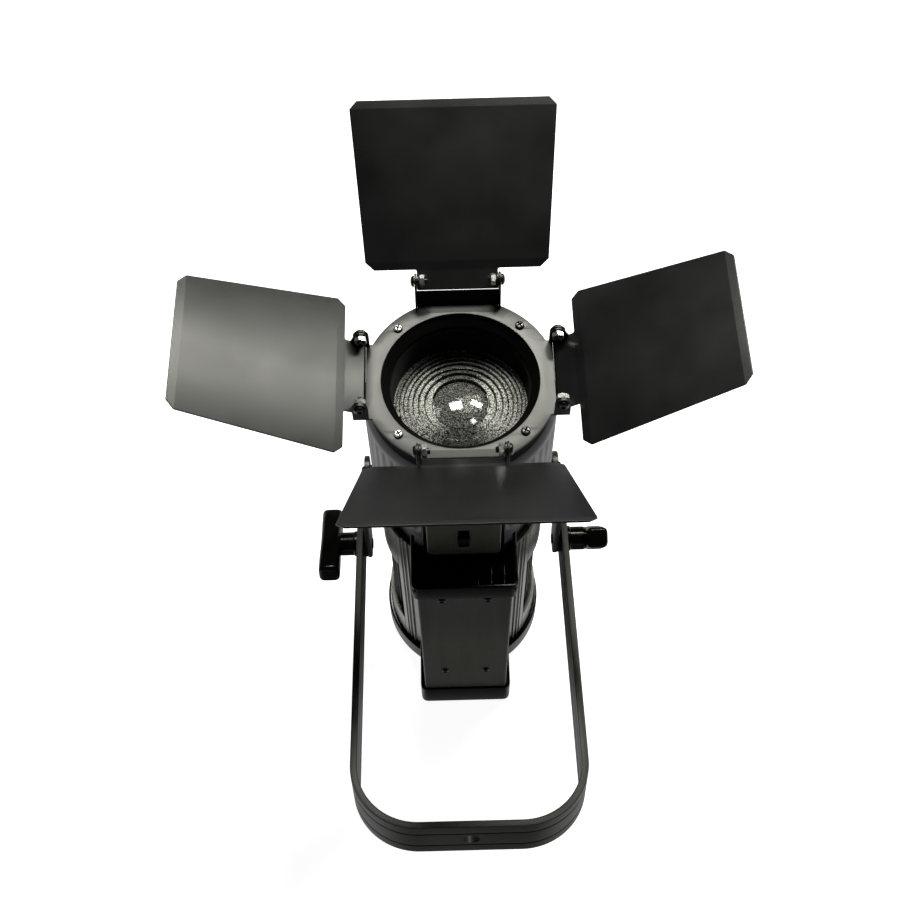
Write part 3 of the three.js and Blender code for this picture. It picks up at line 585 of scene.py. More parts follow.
def lens_glass():
    """Clear moulded glass, pebbled and ground: bright grains on a dark see-through body. The grains
    lie thinly on the dome and on the rings' top and bottom. Towards the left and right the rings'
    grains are painted denser, as painted light where the facets catch the lamps, and at each riser
    between rings they are left out, so the risers show as clear, dark lines of painted shade."""
    n = Nodes("lens_glass")

    def math_node(operation, a, b):
        node = n.add("ShaderNodeMath", operation=operation)
        for socket, value in zip(node.inputs, (a, b)):
            if isinstance(value, (int, float)):
                socket.default_value = value
            else:
                n.link(value, socket)
        return node.outputs[0]

    x, y, _ = n.axes(n.place)
    x2 = math_node("MULTIPLY", x, x)
    y2 = math_node("MULTIPLY", y, y)
    r2 = math_node("MAXIMUM", math_node("ADD", x2, y2), 1e-9)
    span = (LENS_FIRST ** 2 - LENS_CENTRE ** 2) * MM ** 2
    ring = math_node("DIVIDE", math_node("SUBTRACT", r2, (LENS_CENTRE * MM) ** 2), span)
    part = math_node("FRACT", ring, 0)
    on_ring = n.between(ring, 0, 1, 0, 0.03)
    # painted light: towards the left and right the rings' grains grow denser and brighter
    side = n.between(math_node("DIVIDE", x2, r2), 0.4, 1.3, 0.1, 0.8)
    # painted shade: at each riser the grains fade out, leaving a dark line along the step
    start, end = n.between(part, 0, 1, 0.05, 0.16), n.between(part, 1, 0.2, 0.8, 0.97)
    riser = math_node("MULTIPLY", start, end)
    rings = math_node("MULTIPLY", math_node("MULTIPLY", side, riser), on_ring)
    dome = math_node("MULTIPLY", n.between(ring, 1, 0, -0.06, -0.03), 0.42)
    grain = n.between(n.noise(0.75, 1.5), 0, 1, 0.42, 0.58)
    shown = math_node("MULTIPLY", grain, math_node("ADD", rings, dome))
    n.colours(shown, (0.03, 0.03, 0.028), (0.9, 0.91, 0.87))
    n.link(n.between(shown, 0.92, 0.1, 0, 1), n.shader.inputs["Transmission Weight"])
    n.roughness(n.noise(3, 2), 0.02, 0.07)
    n.set(IOR=1.5)
    n.bump(n.noise(1.2, 1), 0.008)
    return n.material


def led_phosphor():
    n = Nodes("led_phosphor")
    n.colours(n.between(n.noise(0.7, 3), 0, 1), (0.62, 0.5, 0.12), (0.85, 0.74, 0.3))
    n.roughness(n.noise(2, 2), 0.35, 0.55)
    n.bump(n.noise(0.4, 2), 0.01)
    return n.material


def grey(value):
    return (value, value, value)


LEAF_PAINT = powder_coat(
    "leaf_paint", (0.0010, 0.0012, 0.0015), (0.0020, 0.0024, 0.0029), roughness=0.35, height=0.03)
FRAME_PAINT = powder_coat(
    "frame_paint", grey(0.0015), grey(0.003), roughness=0.39, grain=0.45, height=0.03)
COLLAR_PAINT = powder_coat("collar_paint", grey(0.002), grey(0.004), roughness=0.6, specular=0.02)
STRIP_PAINT = powder_coat("strip_paint", grey(0.003), grey(0.006), roughness=0.55, specular=0.1)
BAFFLE_BLACK = powder_coat("baffle_black", grey(0.004), grey(0.007), roughness=0.65, specular=0.2)
BRACKET_PAINT = powder_coat("bracket_paint", grey(0.006), grey(0.010), roughness=0.36)
# the heatsink skin: deeper than 1.9 mm into its grooves and windows its colour is painted shade
SKIN = anodised(
    "body_skin", (0.15, 0.15, 0.136), (0.24, 0.24, 0.22), roughness=0.36,
    painted_shade_radius=HEATSINK_R - 1.9, metallic=0.7, coat=0.4)
BOX_SKIN = anodised("box_skin", (0.015, 0.015, 0.0105), (0.024, 0.024, 0.017), roughness=0.42)
YOKE_SKIN = powder_coat(
    "yoke_skin", (0.010, 0.010, 0.008), (0.023, 0.023, 0.019), roughness=0.42, specular=0.3,
    grain=0.7, height=0.04)
BARREL_SKIN = anodised(
    "barrel_skin", (0.012, 0.012, 0.0135), (0.022, 0.022, 0.0245), roughness=0.36)
GLOSS_PLASTIC = moulded_plastic(
    "gloss_plastic", grey(0.001), grey(0.0025), roughness=0.16, specular=0.12)
MATTE_PLASTIC = moulded_plastic(
    "matte_plastic", grey(0.002), grey(0.005), roughness=0.5, specular=0.3, height=0.02)
SCREW_BLACK = moulded_plastic(
    "black_oxide", grey(0.002), grey(0.006), roughness=0.22, grain=0.4, height=0.01)
ZINC = plated("zinc_plate", (0.66, 0.66, 0.64), (0.86, 0.86, 0.84), roughness=0.3)
# height below which the plate screws' heads are painted dark, as shade in their cross recesses
SCREW_RECESS = PLATE_TOP + 1.25
CROSS_ZINC = plated(
    "cross_zinc", (0.55, 0.55, 0.53), (0.8, 0.8, 0.78), roughness=0.3, recess=SCREW_RECESS)
# a darker copy of the same zinc plating, as painted shade for the right-hand plate screws
CROSS_ZINC_SHADED = plated(
    "cross_zinc_shaded", (0.07, 0.07, 0.068), (0.12, 0.12, 0.117), roughness=0.34, recess=SCREW_RECESS)
BARE_ALUMINIUM = plated(
    "bare_aluminium", (0.42, 0.43, 0.44), (0.6, 0.61, 0.62), roughness=0.34)
GROUND_STEEL = plated("ground_steel", grey(0.5), grey(0.66), roughness=0.15)
GLASS = lens_glass()
PHOSPHOR = led_phosphor()


def paint_node(node, material):
    """Gives a CAD node that stays in view its finish."""
    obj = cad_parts[node]
    obj.data.materials.clear()
    obj.data.materials.append(material)


# ---- rear body ----
RIBS = (43.6, 47.6)       # degrees from the belly
RIB_HALF = 0.75           # half a rib, in degrees
BELLY_EDGE = 49.6         # degrees from the belly at which the grooved strip beside the box ends
BACK_EDGE = 126           # degrees from the belly at which the grooves of the back start
BACK_PITCH = 6            # degrees between them
FIN_PITCH = 4.5           # degrees between the fins in the side windows
FIN_DEPTH = 3.2
SLOT_DEPTH = 4.9


def skin_groove(angle):
    """Depth of the skin's grooves, by the angle from the belly: two thin ribs beside the driver
    box, plain skin round the windows, and fine grooves along the back."""
    side = min(angle, 360 - angle)
    if side < BELLY_EDGE:
        return 0.0 if any(abs(side - rib) < RIB_HALF for rib in RIBS) else 1.3
    if abs(side - WINDOW_EDGE) < 0.4:
        return 0.5
    if side > BACK_EDGE and (side - BACK_EDGE) % BACK_PITCH < 1.1:
        return 0.9
    return 0.0


def window_depth(angle):
    """Depth of the fins and slots in the side windows."""
    side = min(angle, 360 - angle)
    if not WINDOW_EDGE < side < 180 - WINDOW_EDGE:
        return skin_groove(angle)
    along = (side - WINDOW_EDGE) % FIN_PITCH
    return FIN_DEPTH if 0.9 < along < 1.8 else SLOT_DEPTH


def housing():
    def radius(angle, r, z):
        if r < HEATSINK_R - 1.5:
            return r
        beside_window = not WINDOW_EDGE < min(angle, 360 - angle) < 180 - WINDOW_EDGE
        if beside_window and PLAIN_LOW < z < PLAIN_HIGH:
            r = HEATSINK_R
        inside = WINDOW_LOW < z < WINDOW_HIGH
        return r - (window_depth(angle) if inside else skin_groove(angle))

    low, high = WINDOW_LOW, WINDOW_HIGH
    profile = [
        (HEATSINK_R, HEATSINK_LOW), (HEATSINK_R, low - 0.6), (HEATSINK_R - 0.4, low),
        (HEATSINK_R, low + 0.1), (HEATSINK_R, high - 0.1), (HEATSINK_R - 0.5, high),
        (HEATSINK_R, high + 0.7), (HEATSINK_R, HEATSINK_TOP - 0.7),
        (HEATSINK_R - 0.6, HEATSINK_TOP), (HEATSINK_BORE, HEATSINK_TOP),
        (HEATSINK_BORE, HEATSINK_LOW),
    ]
    return lathe(profile, 720, shape=radius)


piece("rear_body", housing(), SKIN, "black_aluminium", "housing", "heatsink_housing", smooth=25)


def rear_cover():
    rim = lathe(rounded([
        (RIM_R - 14, 3.2, 0), (RIM_R - 12, 3, 1), (RIM_R - 10.5, 0, 1.5), (RIM_R, 0, 2.2),
        (RIM_R, RIM_TOP, 1.4), (HEATSINK_R + 0.4, RIM_TOP, 0.3), (HEATSINK_R + 0.4, 8.7, 0),
        (RIM_R - 14, 8.7, 0),
    ], 1))
    slots = []
    for distance in (13, 21, 29, 37):
        half = math.sqrt(42 ** 2 - distance ** 2)
        for y in (-distance, distance):
            slots.append(rounded([
                (-half, y - 2), (half, y - 2), (half, y + 2), (-half, y + 2),
            ], 1.9))
    wall = moved(plate([circle(RIM_R - 12.5, 96), *slots], 5, 0.5), shift(0, 0, 5.7))
    pad = lathe([(0, 0.01), (8.8, 0.01), (9.8, 1), (9.8, 5), (0, 5)], 48, closed=False)
    return joined(rim, wall, pad)


piece("rear_cover_moulding", rear_cover(), GLOSS_PLASTIC, "gloss_plastic", "housing", "rear_cover")


# ---- front barrel ----
def barrel():
    flutes = 48
    flute_depth = 0.8

    def flute(angle, r, z):
        if r < BARREL_R - 0.5 or not BARREL_LOW + 5 < z < BARREL_TOP - 11:
            return r
        return r - flute_depth * max(0.0, cosine(angle * flutes)) ** 0.5

    bore = BARREL_R - 7
    profile = [
        (0, FLOOR_LOW), (NECK_R, FLOOR_LOW), (NECK_R, BARREL_LOW), (BARREL_R - 1, BARREL_LOW),
        (BARREL_R, BARREL_LOW + 1), (BARREL_R, BARREL_LOW + 4.4), (BARREL_R, BARREL_LOW + 6),
        (BARREL_R, BARREL_TOP - 12), (BARREL_R, BARREL_TOP - 10.4), (BARREL_R, BARREL_TOP - 6),
        (BARREL_R - 0.6, BARREL_TOP - 3.2), (BARREL_R - 3, BARREL_TOP), (bore, BARREL_TOP),
        (bore, BARREL_LOW + 5), (NECK_R - 4, BARREL_LOW + 5), (NECK_R - 4, FLOOR_LOW + 5),
        (0, FLOOR_LOW + 5),
    ]
    mesh = lathe(profile, 480, closed=False, shape=flute)
    slot = box((-SLOT_HALF, -BARREL_R - 2, SLOT_LOW), (SLOT_HALF, -NECK_R + 8, SLOT_HIGH))
    return combine(mesh, slot)


piece("barrel", barrel(), BARREL_SKIN, "black_aluminium", "housing", "front_barrel", smooth=28)


def collar():
    seat = BAFFLE_R + 2.5
    low = BARREL_TOP + 0.3
    return lathe(rounded([
        (seat, low), (BARREL_R - 3, low), (COLLAR_R, low + 4), (COLLAR_R, COLLAR_TOP),
        (BORE_R - 0.3, COLLAR_TOP), (BAFFLE_R, BEVEL_LOW), (BAFFLE_R, BEVEL_LOW - 2),
        (seat, BEVEL_LOW - 2),
    ], 0.6), 160)


piece("collar", collar(), COLLAR_PAINT, "black_steel", "housing", "front_collar", smooth=25)


def baffle():
    low = LENS_TOP + 0.3
    high = BEVEL_LOW - 2.3
    outer = BAFFLE_R + 2.2
    profile = [(outer, low), (outer, high), (BAFFLE_R, high)]
    steps = 9
    for i in range(steps):
        z = high - (high - low) * (i + 0.5) / steps
        profile += [(BAFFLE_R - 0.2, z), (BAFFLE_R - 0.8, z - 0.4)]
    profile.append((BAFFLE_R - 1.4, low))
    return lathe(profile, 128)


piece("baffle_tube", baffle(), BAFFLE_BLACK, "black_steel", "housing", "lens_baffle", smooth=50)


# ---- lens ----
def lens():
    """Stepped rings of equal area round a centre dome, all cut back to about one height."""
    centre = LENS_CENTRE
    step = 2.4
    rings = 7
    radii = [math.sqrt(centre ** 2 + i * (LENS_FIRST ** 2 - centre ** 2)) for i in range(rings + 1)]
    profile = [(0, LENS_LOW), (LENS_R, LENS_LOW), (LENS_R, LENS_TOP - step - 0.4)]
    profile.append((radii[-1] + 0.5, LENS_TOP - step - 0.4))
    for i in range(rings, 0, -1):
        outer, inner = radii[i], radii[i - 1]
        for k in range(4):
            t = k / 3
            profile.append((outer + (inner + 0.25 - outer) * t, LENS_TOP - step * (1 - t) ** 1.25))
        profile.append((inner, LENS_TOP - step))
    for k in range(1, 9):
        r = centre * (1 - k / 8)
        profile.append((r, LENS_TOP - step * (r / centre) ** 2))
    return lathe(profile, 192, closed=False)


piece("stepped_lens", lens(), GLASS, "lens_glass", "housing", "fresnel_lens", smooth=24)


# ---- driver box ----
def column(radius):
    """A round column about the optical axis, for cutting out the room of the body."""
    return lathe([(0, 0), (radius, 0), (radius, ABOVE_ALL), (0, ABOVE_ALL)], 96, closed=False)


def box_body():
    wall = 2.5
    back = -40
    outline = rounded([
        (-BOX_HALF, BOX_FRONT, 1.8), (BOX_HALF, BOX_FRONT, 1.8), (BOX_HALF, back, 0),
        (BOX_HALF - wall, back, 0), (BOX_HALF - wall, BOX_FRONT + wall, 0),
        (-BOX_HALF + wall, BOX_FRONT + wall, 0), (-BOX_HALF + wall, back, 0),
        (-BOX_HALF, back, 0),
    ], 1.8, 5)
    height = BOX_HIGH - BOX_LOW
    mesh = moved(plate([outline], height, 0.3), shift(0, 0, BOX_LOW + height / 2))
    mesh = combine(mesh, column(HEATSINK_R + 0.3))
    for x, z in BOX_SCREWS:
        dimple = lathe([(0, 0), (1.9, 0), (3.1, 2), (0, 2)], 32, closed=False)
        moved(dimple, turn(90, "X"), shift(x, BOX_FRONT + 1.2, z))
        mesh = combine(mesh, dimple)
    return mesh


BOX_SCREWS = [(-16, BOX_HIGH - 5), (16, BOX_HIGH - 5), (-16, 72), (16, 72)]
piece("driver_case", box_body(), BOX_SKIN, "black_aluminium", "housing", "driver_housing",
      smooth=30)


def cap_outline(inset, back, radius):
    half = CAP_HALF - inset
    front = CAP_FRONT + inset
    corners = [(-half, front), (half, front), (half, back, 0), (-half, back, 0)]
    return rounded(corners, radius, 8)


def front_cap():
    low = BOX_HIGH + 0.3
    height = CAP_TOP - low
    middle = low + height / 2
    mesh = moved(plate([cap_outline(0, CAP_BACK, CAP_CORNER)], height, 0.8), shift(0, 0, middle))
    tray = plate([cap_outline(TRAY_WALL, CAP_BACK + 6, 4.5)], height, 0.2)
    mesh = combine(mesh, moved(tray, shift(0, 0, middle + TRAY_FLOOR)))
    mesh = combine(mesh, column(HEATSINK_R + 0.6))
    rib_pitch, rib_half, rib_back = 9, 0.8, -72
    for i in range(7):
        x = (i - 3) * rib_pitch
        low_corner = (x - rib_half, CAP_FRONT + 2, BOX_HIGH + TRAY_FLOOR)
        rib = box(low_corner, (x + rib_half, rib_back, CAP_TOP - 4))
        mesh = joined(mesh, bevelled(rib, 0.3))
    return mesh


piece("driver_cap_front", front_cap(), GLOSS_PLASTIC, "gloss_plastic", "housing",
      "driver_front_cap")


def rear_cap():
    high = BOX_LOW - 0.3
    outline = cap_outline(0, CAP_BACK, CAP_CORNER)
    mesh = moved(plate([outline], high, 1.2), shift(0, 0, high / 2))
    half = BOX_HALF - 4
    hollow = box((-half, CAP_FRONT + 3, 5), (half, -66, high + 5))
    mesh = combine(mesh, hollow)
    rim = lathe([
        (0, -1), (RIM_R + 0.3, -1), (RIM_R + 0.3, RIM_TOP + 0.3),
        (HEATSINK_R + 0.6, RIM_TOP + 0.3), (HEATSINK_R + 0.6, 40), (0, 40),
    ], 96, closed=False)
    mesh = combine(mesh, rim)
    inlet_opening = box((-14.3, -86.9, -1), (14.3, -66.3, 6))
    return combine(mesh, inlet_opening)


piece("driver_cap_rear", rear_cap(), GLOSS_PLASTIC, "gloss_plastic", "housing",
      "driver_rear_cap")


def barrel_space():
    """The room that the barrel and its neck take out of the focus housing."""
    return lathe([
        (0, 0), (NECK_R + GAP, 0), (NECK_R + GAP, BARREL_LOW - GAP),
        (BARREL_R + GAP, BARREL_LOW - GAP), (BARREL_R + GAP, ABOVE_ALL), (0, ABOVE_ALL),
    ], 128, closed=False)


def focus_outline(inset, corner):
    half = FOCUS_HALF - inset
    low = FOCUS_LOW + inset
    return rounded([
        (-half, low, corner), (half, low, corner), (half, FOCUS_HIGH, 0.5),
        (-half, FOCUS_HIGH, 0.5),
    ], corner, 8)


def focus_slot():
    return rounded([
        (-SLOT_HALF, SLOT_LOW), (SLOT_HALF, SLOT_LOW), (SLOT_HALF, SLOT_HIGH),
        (-SLOT_HALF, SLOT_HIGH),
    ], 0.8)


def focus_panel():
    """The pressed cover, standing in a moulded rim."""
    depth = 6
    mesh = plate([focus_outline(2.7, 4.2), focus_slot()], depth, 1.1)
    moved(mesh, turn(90, "X"), shift(0, FOCUS_FRONT + depth / 2, 0))
    return combine(mesh, barrel_space())


def focus_rim():
    """The moulded rim round the panel's sides and lower edge."""
    depth = 27
    wall = 3.1
    half = FOCUS_HALF
    inner = half - wall
    outline = rounded([
        (-half, FOCUS_HIGH, 0.4), (-half, FOCUS_LOW, 5.5), (half, FOCUS_LOW, 5.5),
        (half, FOCUS_HIGH, 0.4), (inner, FOCUS_HIGH, 0.4), (inner, FOCUS_LOW + wall, 3.8),
        (-inner, FOCUS_LOW + wall, 3.8), (-inner, FOCUS_HIGH, 0.4),
    ], 1, 8)
    mesh = plate([outline], depth, 0.7)
    moved(mesh, turn(90, "X"), shift(0, FOCUS_FRONT + 1.8 + depth / 2, 0))
    return combine(mesh, barrel_space())


piece("focus_panel", focus_panel(), BOX_SKIN, "black_aluminium", "housing", "focus_housing")
piece("focus_rim", focus_rim(), GLOSS_PLASTIC, "gloss_plastic", "housing")


# ---- yoke ----
def grooved_section(width, thickness, places, groove=0.8, depth=0.8):
    """Flat bar with softened corners and a groove at each place on both faces."""
    half_w, half_t = width / 2, thickness / 2
    face = [(half_t, -half_w, 0.9)]
    for w in places:
        face += [(half_t, w - groove, 0.15), (half_t - depth, w - groove * 0.6, 0)]
        face += [(half_t - depth, w + groove * 0.6, 0), (half_t, w + groove, 0.15)]
    face.append((half_t, half_w, 0.9))
    other = [(-t, w, r) for t, w, r in face[::-1]]
    return rounded(face + other, 0.5, 3)


def yoke():
    middle_x = YOKE_OUT - YOKE_T / 2
    middle_y = YOKE_LENGTH - YOKE_T / 2
    bend = YOKE_BEND_R - YOKE_T / 2
    width = Vector((0, 0, 1))
    end = YOKE_W / 2
    path, half = [], []

    def station(x, y, nx, ny, h):
        path.append((Vector((x, y, 0)), Vector((nx, ny, 0)), width))
        half.append(h)

    round_end = [end * cosine(5.4 * k + 3.4) for k in range(17)]
    for s in round_end:
        station(middle_x, -s, 1, 0, math.sqrt(end ** 2 - s ** 2))
    for side in (1, -1):
        for k in range(25):
            angle = math.radians(90 * k / 24)
            if side < 0:
                angle = math.pi / 2 - angle
            c, s = math.cos(angle), math.sin(angle)
            x = side * (middle_x - bend + bend * c)
            station(x, middle_y - bend + bend * s, side * c, s, end)
    for s in reversed(round_end):
        station(-middle_x, -s, -1, 0, math.sqrt(end ** 2 - s ** 2))
    section = grooved_section(YOKE_W, YOKE_T, (-9.2, 9.2))
    mesh = sweep(path, section, half, YOKE_W)
    r = HANGING_HOLE_R
    hole = lathe([(0, -10), (r, -10), (r, 10), (0, 10)], 40, closed=False)
    mesh = combine(mesh, moved(hole, turn(90, "X"), shift(0, YOKE_LENGTH, 0)))
    return moved(mesh, turn(180, "Z"), turn(-YOKE_RISE, "X"), shift(0, 0, PIVOT_Z))


piece("yoke_bar", yoke(), YOKE_SKIN, "black_aluminium", "yoke", "yoke", smooth=30)


BRACKET_SCREW_Z = (BRACKET_TOP - BRACKET_W / 2, BRACKET_TOP - BRACKET_W / 2 - 16)


def bracket(side):
    """Strap with round ends, stepped outwards below the step's top, on two bosses."""
    step_top, step_foot = 213, 197.5
    x_top = BRACKET_X_TOP + BRACKET_T / 2
    x_low = BRACKET_X_LOW + BRACKET_T / 2
    end = BRACKET_W / 2
    middle = BRACKET_TOP - end
    arc = [7 * k for k in range(13)]
    stations = [(x_top, middle + end * sine(a), end * cosine(a)) for a in reversed(arc)]
    stations += [(x_top, step_top + 3, end), (x_top + 0.4, step_top, end)]
    stations += [(x_low - 0.4, step_foot, end), (x_low, step_foot - 3, end)]
    stations += [(x_low, PIVOT_Z - end * sine(a), end * cosine(a)) for a in arc]
    path = [(Vector((x, 0, z)), Vector((1, 0, 0)), Vector((0, 1, 0))) for x, z, _ in stations]
    halves = [half for _, _, half in stations]
    mesh = sweep(path, grooved_section(BRACKET_W, BRACKET_T, ()), halves, BRACKET_W)
    for z in BRACKET_SCREW_Z:
        boss = lathe([(0, NECK_R + GAP), (4.2, NECK_R + GAP), (4.5, NECK_R + 1),
                      (4.5, BRACKET_X_TOP + 1), (0, BRACKET_X_TOP + 1)], 32, closed=False)
        mesh = joined(mesh, moved(boss, turn(90, "Y"), shift(0, 0, z)))
    return moved(mesh, Matrix.Scale(side, 4, (1, 0, 0)))


def washer(side):
    low = BRACKET_X_LOW + BRACKET_T + 0.3
    high = YOKE_OUT - YOKE_T - 0.3
    inner, outer = STUD_R + 0.3, 10.5
    section = rounded([(inner, low), (outer, low), (outer, high), (inner, high)], 0.4)
    mirror = Matrix.Scale(side, 4, (1, 0, 0))
    return moved(lathe(section, 64), turn(90, "Y"), shift(0, 0, PIVOT_Z), mirror)


GRIP_OUT = 103.3          # distance of the grip's middle from the optical axis
GRIP_HALF = 33.6          # half its length
GRIP_HALF_X = 8.1
GRIP_HALF_Y = 9.3


def grip():
    """Bar grip of round-cornered section with softly rounded ends, along Z."""
    corner = 3
    power = 2 / 4.2
    levels = [-GRIP_HALF + corner * (1 - cosine(15 * k)) for k in range(7)]
    levels += [-20, -7, 0, 7, 20]
    levels += [-z for z in levels[6::-1]]
    rings = []
    for z in levels:
        over = max(0.0, abs(z) - (GRIP_HALF - corner))
        inset = corner - math.sqrt(corner ** 2 - over ** 2)
        waist = 0.35 * cosine(min(90.0, abs(z) * 4.5))
        half_x = GRIP_HALF_X - inset - waist
        half_y = GRIP_HALF_Y - inset - z * z / 700
        ring = []
        for i in range(48):
            x = half_x * signed_power(cosine(7.5 * i), power)
            y = half_y * signed_power(sine(7.5 * i), power)
            ring.append((x, y, z))
        rings.append(ring)
    return loft(rings)


def knob(side, lean):
    base = YOKE_OUT + GAP
    boss = lathe(rounded([
        (0, base - 12, 0), (STUD_R, base - 12, 0.5), (STUD_R, base + 0.1, 0), (9.9, base, 0.5),
        (9.9, base + 2.6, 0.8), (9.2, base + 3.2, 0.5), (9.2, GRIP_OUT - 8, 0.8),
        (8.4, GRIP_OUT - 6, 0.6), (0, GRIP_OUT - 6, 0),
    ], 0.5), 64, closed=False)
    boss = moved(boss, turn(90, "Y"))
    handle = moved(grip(), shift(GRIP_OUT, 0, 0))
    mesh = joined(boss, handle)
    mirror = turn(180, "Z") if side < 0 else Matrix.Identity(4)
    return moved(mesh, turn(lean, "X"), mirror, shift(0, 0, PIVOT_Z))


for label, side in SIDES:
    piece(f"bracket_{label}", bracket(side), BRACKET_PAINT, "black_steel", "housing",
          f"side_bracket_{label}")
    piece(f"washer_{label}", washer(side), MATTE_PLASTIC, "matte_plastic", "housing",
          f"pivot_washer_{label}")
piece("tilt_knob_left", knob(-1, 110), GLOSS_PLASTIC, "gloss_plastic", "knob_left", "knob_left")
piece("tilt_knob_right", knob(1, 25), GLOSS_PLASTIC, "gloss_plastic", "knob_right", "knob_right")


# ---- barn door ----
def to_side(mesh, hinge):
    """Carries a mesh from the hinge's own axes, hinge along X and leaf along +Y, to its side."""
    _, angle, flat, (out, up), _, _ = hinge
    return moved(mesh, shift(0, flat + out, PLATE_TOP + up), turn(angle, "Z"))


def ear(radius, foot, x):
    """Upright ear with a round top about the hinge axis; foot is a list of (out, up) points."""
    arc = [(radius * cosine(20 * k), radius * sine(20 * k), 0) for k in range(10)]
    corners = [(y, z, 0.6) for y, z in foot]
    mesh = plate([rounded(corners + arc, 0.6), circle(2.2, 24)], SHEET, 0.2)
    return moved(mesh, turn(90, "X"), turn(90, "Z"), shift(x, 0, 0))


def leaf(hinge):
    _, _, _, _, (near, far, reach), opening = hinge
    c = LEAF_CHAMFER
    slope = (far - near) / (reach - LEAF_NEAR)
    right = [
        (TAB_HALF, -LEAF_INNER, 0.6), (TAB_HALF, LEAF_NEAR, 1.5), (near - c, LEAF_NEAR, 1.2),
        (near + slope * c, LEAF_NEAR + c, 1.2), (far - slope * c, reach - c, 1.2),
        (far - c, reach, 1.2),
    ]
    left = [(-x, y, r) for x, y, r in right[::-1]]
    sheet = moved(plate([rounded(right + left, 1)], SHEET, 0.25), shift(0, 0, -LEAF_DROP))
    foot = [(-LEAF_EAR_R, -LEAF_DROP - 0.3), (LEAF_EAR_R, -LEAF_DROP - 0.3)]
    ears = [ear(LEAF_EAR_R, foot, x) for x in (TAB_HALF - SHEET / 2, SHEET / 2 - TAB_HALF)]
    mesh = moved(joined(sheet, *ears), turn(opening, "X"))
    return to_side(mesh, hinge)


def frame_screw_places():
    return [
        (FRAME_SCREW_R * cosine(angle), FRAME_SCREW_R * sine(angle))
        for angle in (45, 135, 225, 315)
    ]


def frame_outline():
    """Circle cut by an upper and a lower flat, with a straight-ended tab out to each side."""
    tab = TAB_HALF + GAP + SHEET
    start = math.degrees(math.asin(tab / PLATE_R))
    end = math.degrees(math.asin(FLAT_Y / PLATE_R))
    quarter = [(FLAT_X, tab, 0.8)]
    for k in range(17):
        a = start + (end - start) * k / 16
        quarter.append((PLATE_R * cosine(a), PLATE_R * sine(a), 0))
    top = quarter + [(-x, y, r) for x, y, r in quarter[::-1]]
    return rounded(top + [(-x, -y, r) for x, y, r in top], 0.8)


def door_frame():
    holes = [circle(BORE_R, 128)] + [circle(1.9, 24, place) for place in frame_screw_places()]
    ring = plate([frame_outline(), *holes], PLATE_T, 0.3)
    parts = [moved(ring, shift(0, 0, PLATE_TOP - PLATE_T / 2))]
    ear_x = TAB_HALF + GAP + SHEET / 2
    for hinge in HINGES:
        out, up = hinge[3]
        foot = [(y, z - up - PLATE_T + 0.3) for y, z in EAR_FOOT[hinge[3]]]
        for x in (-ear_x, ear_x):
            parts.append(to_side(ear(FRAME_EAR_R, foot, x), hinge))
    return joined(*parts)


def hinge_strip(hinge):
    """Strip between two of the frame's ears, leaning outwards from its edge; a strip taller than 6
    mm carries two rivets.
    """
    out, up = hinge[3]
    lean, rise = FLANGE[hinge[3]]
    half = TAB_HALF + GAP + SHEET
    height = math.hypot(lean, rise)
    edge = rounded([(-half, 0, 0), (half, 0, 0), (half, height, 1), (-half, height, 1)], 1)
    mesh = plate([edge], SHEET, 0.25)
    if height > 6:
        for x in (-22.5, 22.5):
            rivet = lathe([(0, 0), (1.6, 0), (1.5, 0.4), (1.0, 0.75), (0, 0.9)], 32, closed=False)
            mesh = joined(mesh, moved(rivet, shift(x, 2.6, SHEET / 2)))
    angle = 90 - math.degrees(math.atan2(lean, rise))
    moved(mesh, turn(angle, "X"), shift(0, 0.6 - out, 0.4 - up - PLATE_T))
    return to_side(mesh, hinge)


for hinge in HINGES:
    name = hinge[0]
    piece(f"door_leaf_{name}", leaf(hinge), LEAF_PAINT, "black_steel", f"leaf_{name}",
          f"leaf_{name}")
    piece(f"hinge_strip_{name}", hinge_strip(hinge), STRIP_PAINT, "black_steel", "housing")
piece("door_frame", door_frame(), FRAME_PAINT, "black_steel", "housing", "barndoor_frame")


# ---- fasteners ----
def button_screw(shank, length):
    """Button head with a hex socket, pointing down -Z, head underside at z = 0."""
    body = lathe([
        (0, -length), (shank - 0.4, -length), (shank, -length + 0.5), (shank, 0), (3.75, 0),
        (3.7, 0.7), (3.2, 1.5), (2.4, 2.0), (1.6, 2.3), (0, 2.4),
    ], 40, closed=False)
    socket = lathe([(0, 0.9), (1.35, 0.9), (1.35, 4), (0, 4)], 6, closed=False)
    return combine(body, socket)


def cross_screw(head, shank, length):
    """Pan head with a cross recess, pointing down -Z, head underside at z = 0."""
    body = lathe([
        (0, -length), (shank, -length), (shank, 0), (head, 0), (head, head * 0.3),
        (head * 0.92, head * 0.48), (head * 0.75, head * 0.57), (0, head * 0.6),
    ], 40, closed=False)
    arm, half = head * 0.74, head * 0.2
    for turned in (35, 125):
        cut = moved(box((-arm, -half, head * 0.15), (arm, half, head)), turn(turned, "Z"))
        body = combine(body, cut)
    return body


NUT_T = 3.4


def hex_nut():
    """Nut across 7 mm flats with chamfered corners, its bore clear of the screw, standing on
    z = 0."""
    body = lathe([(0, 0), (4.04, 0), (4.04, NUT_T), (0, NUT_T)], 6, closed=False)
    blank = lathe([
        (0, -0.01), (3.3, -0.01), (4.1, 0.5), (4.1, 2.6), (3.2, NUT_T + 0.01), (0, NUT_T + 0.01),
    ], 48, closed=False)
    bore = lathe([(0, -1), (2.15, -1), (2.15, 5), (0, 5)], 24, closed=False)
    return combine(combine(body, blank, "INTERSECT"), bore)


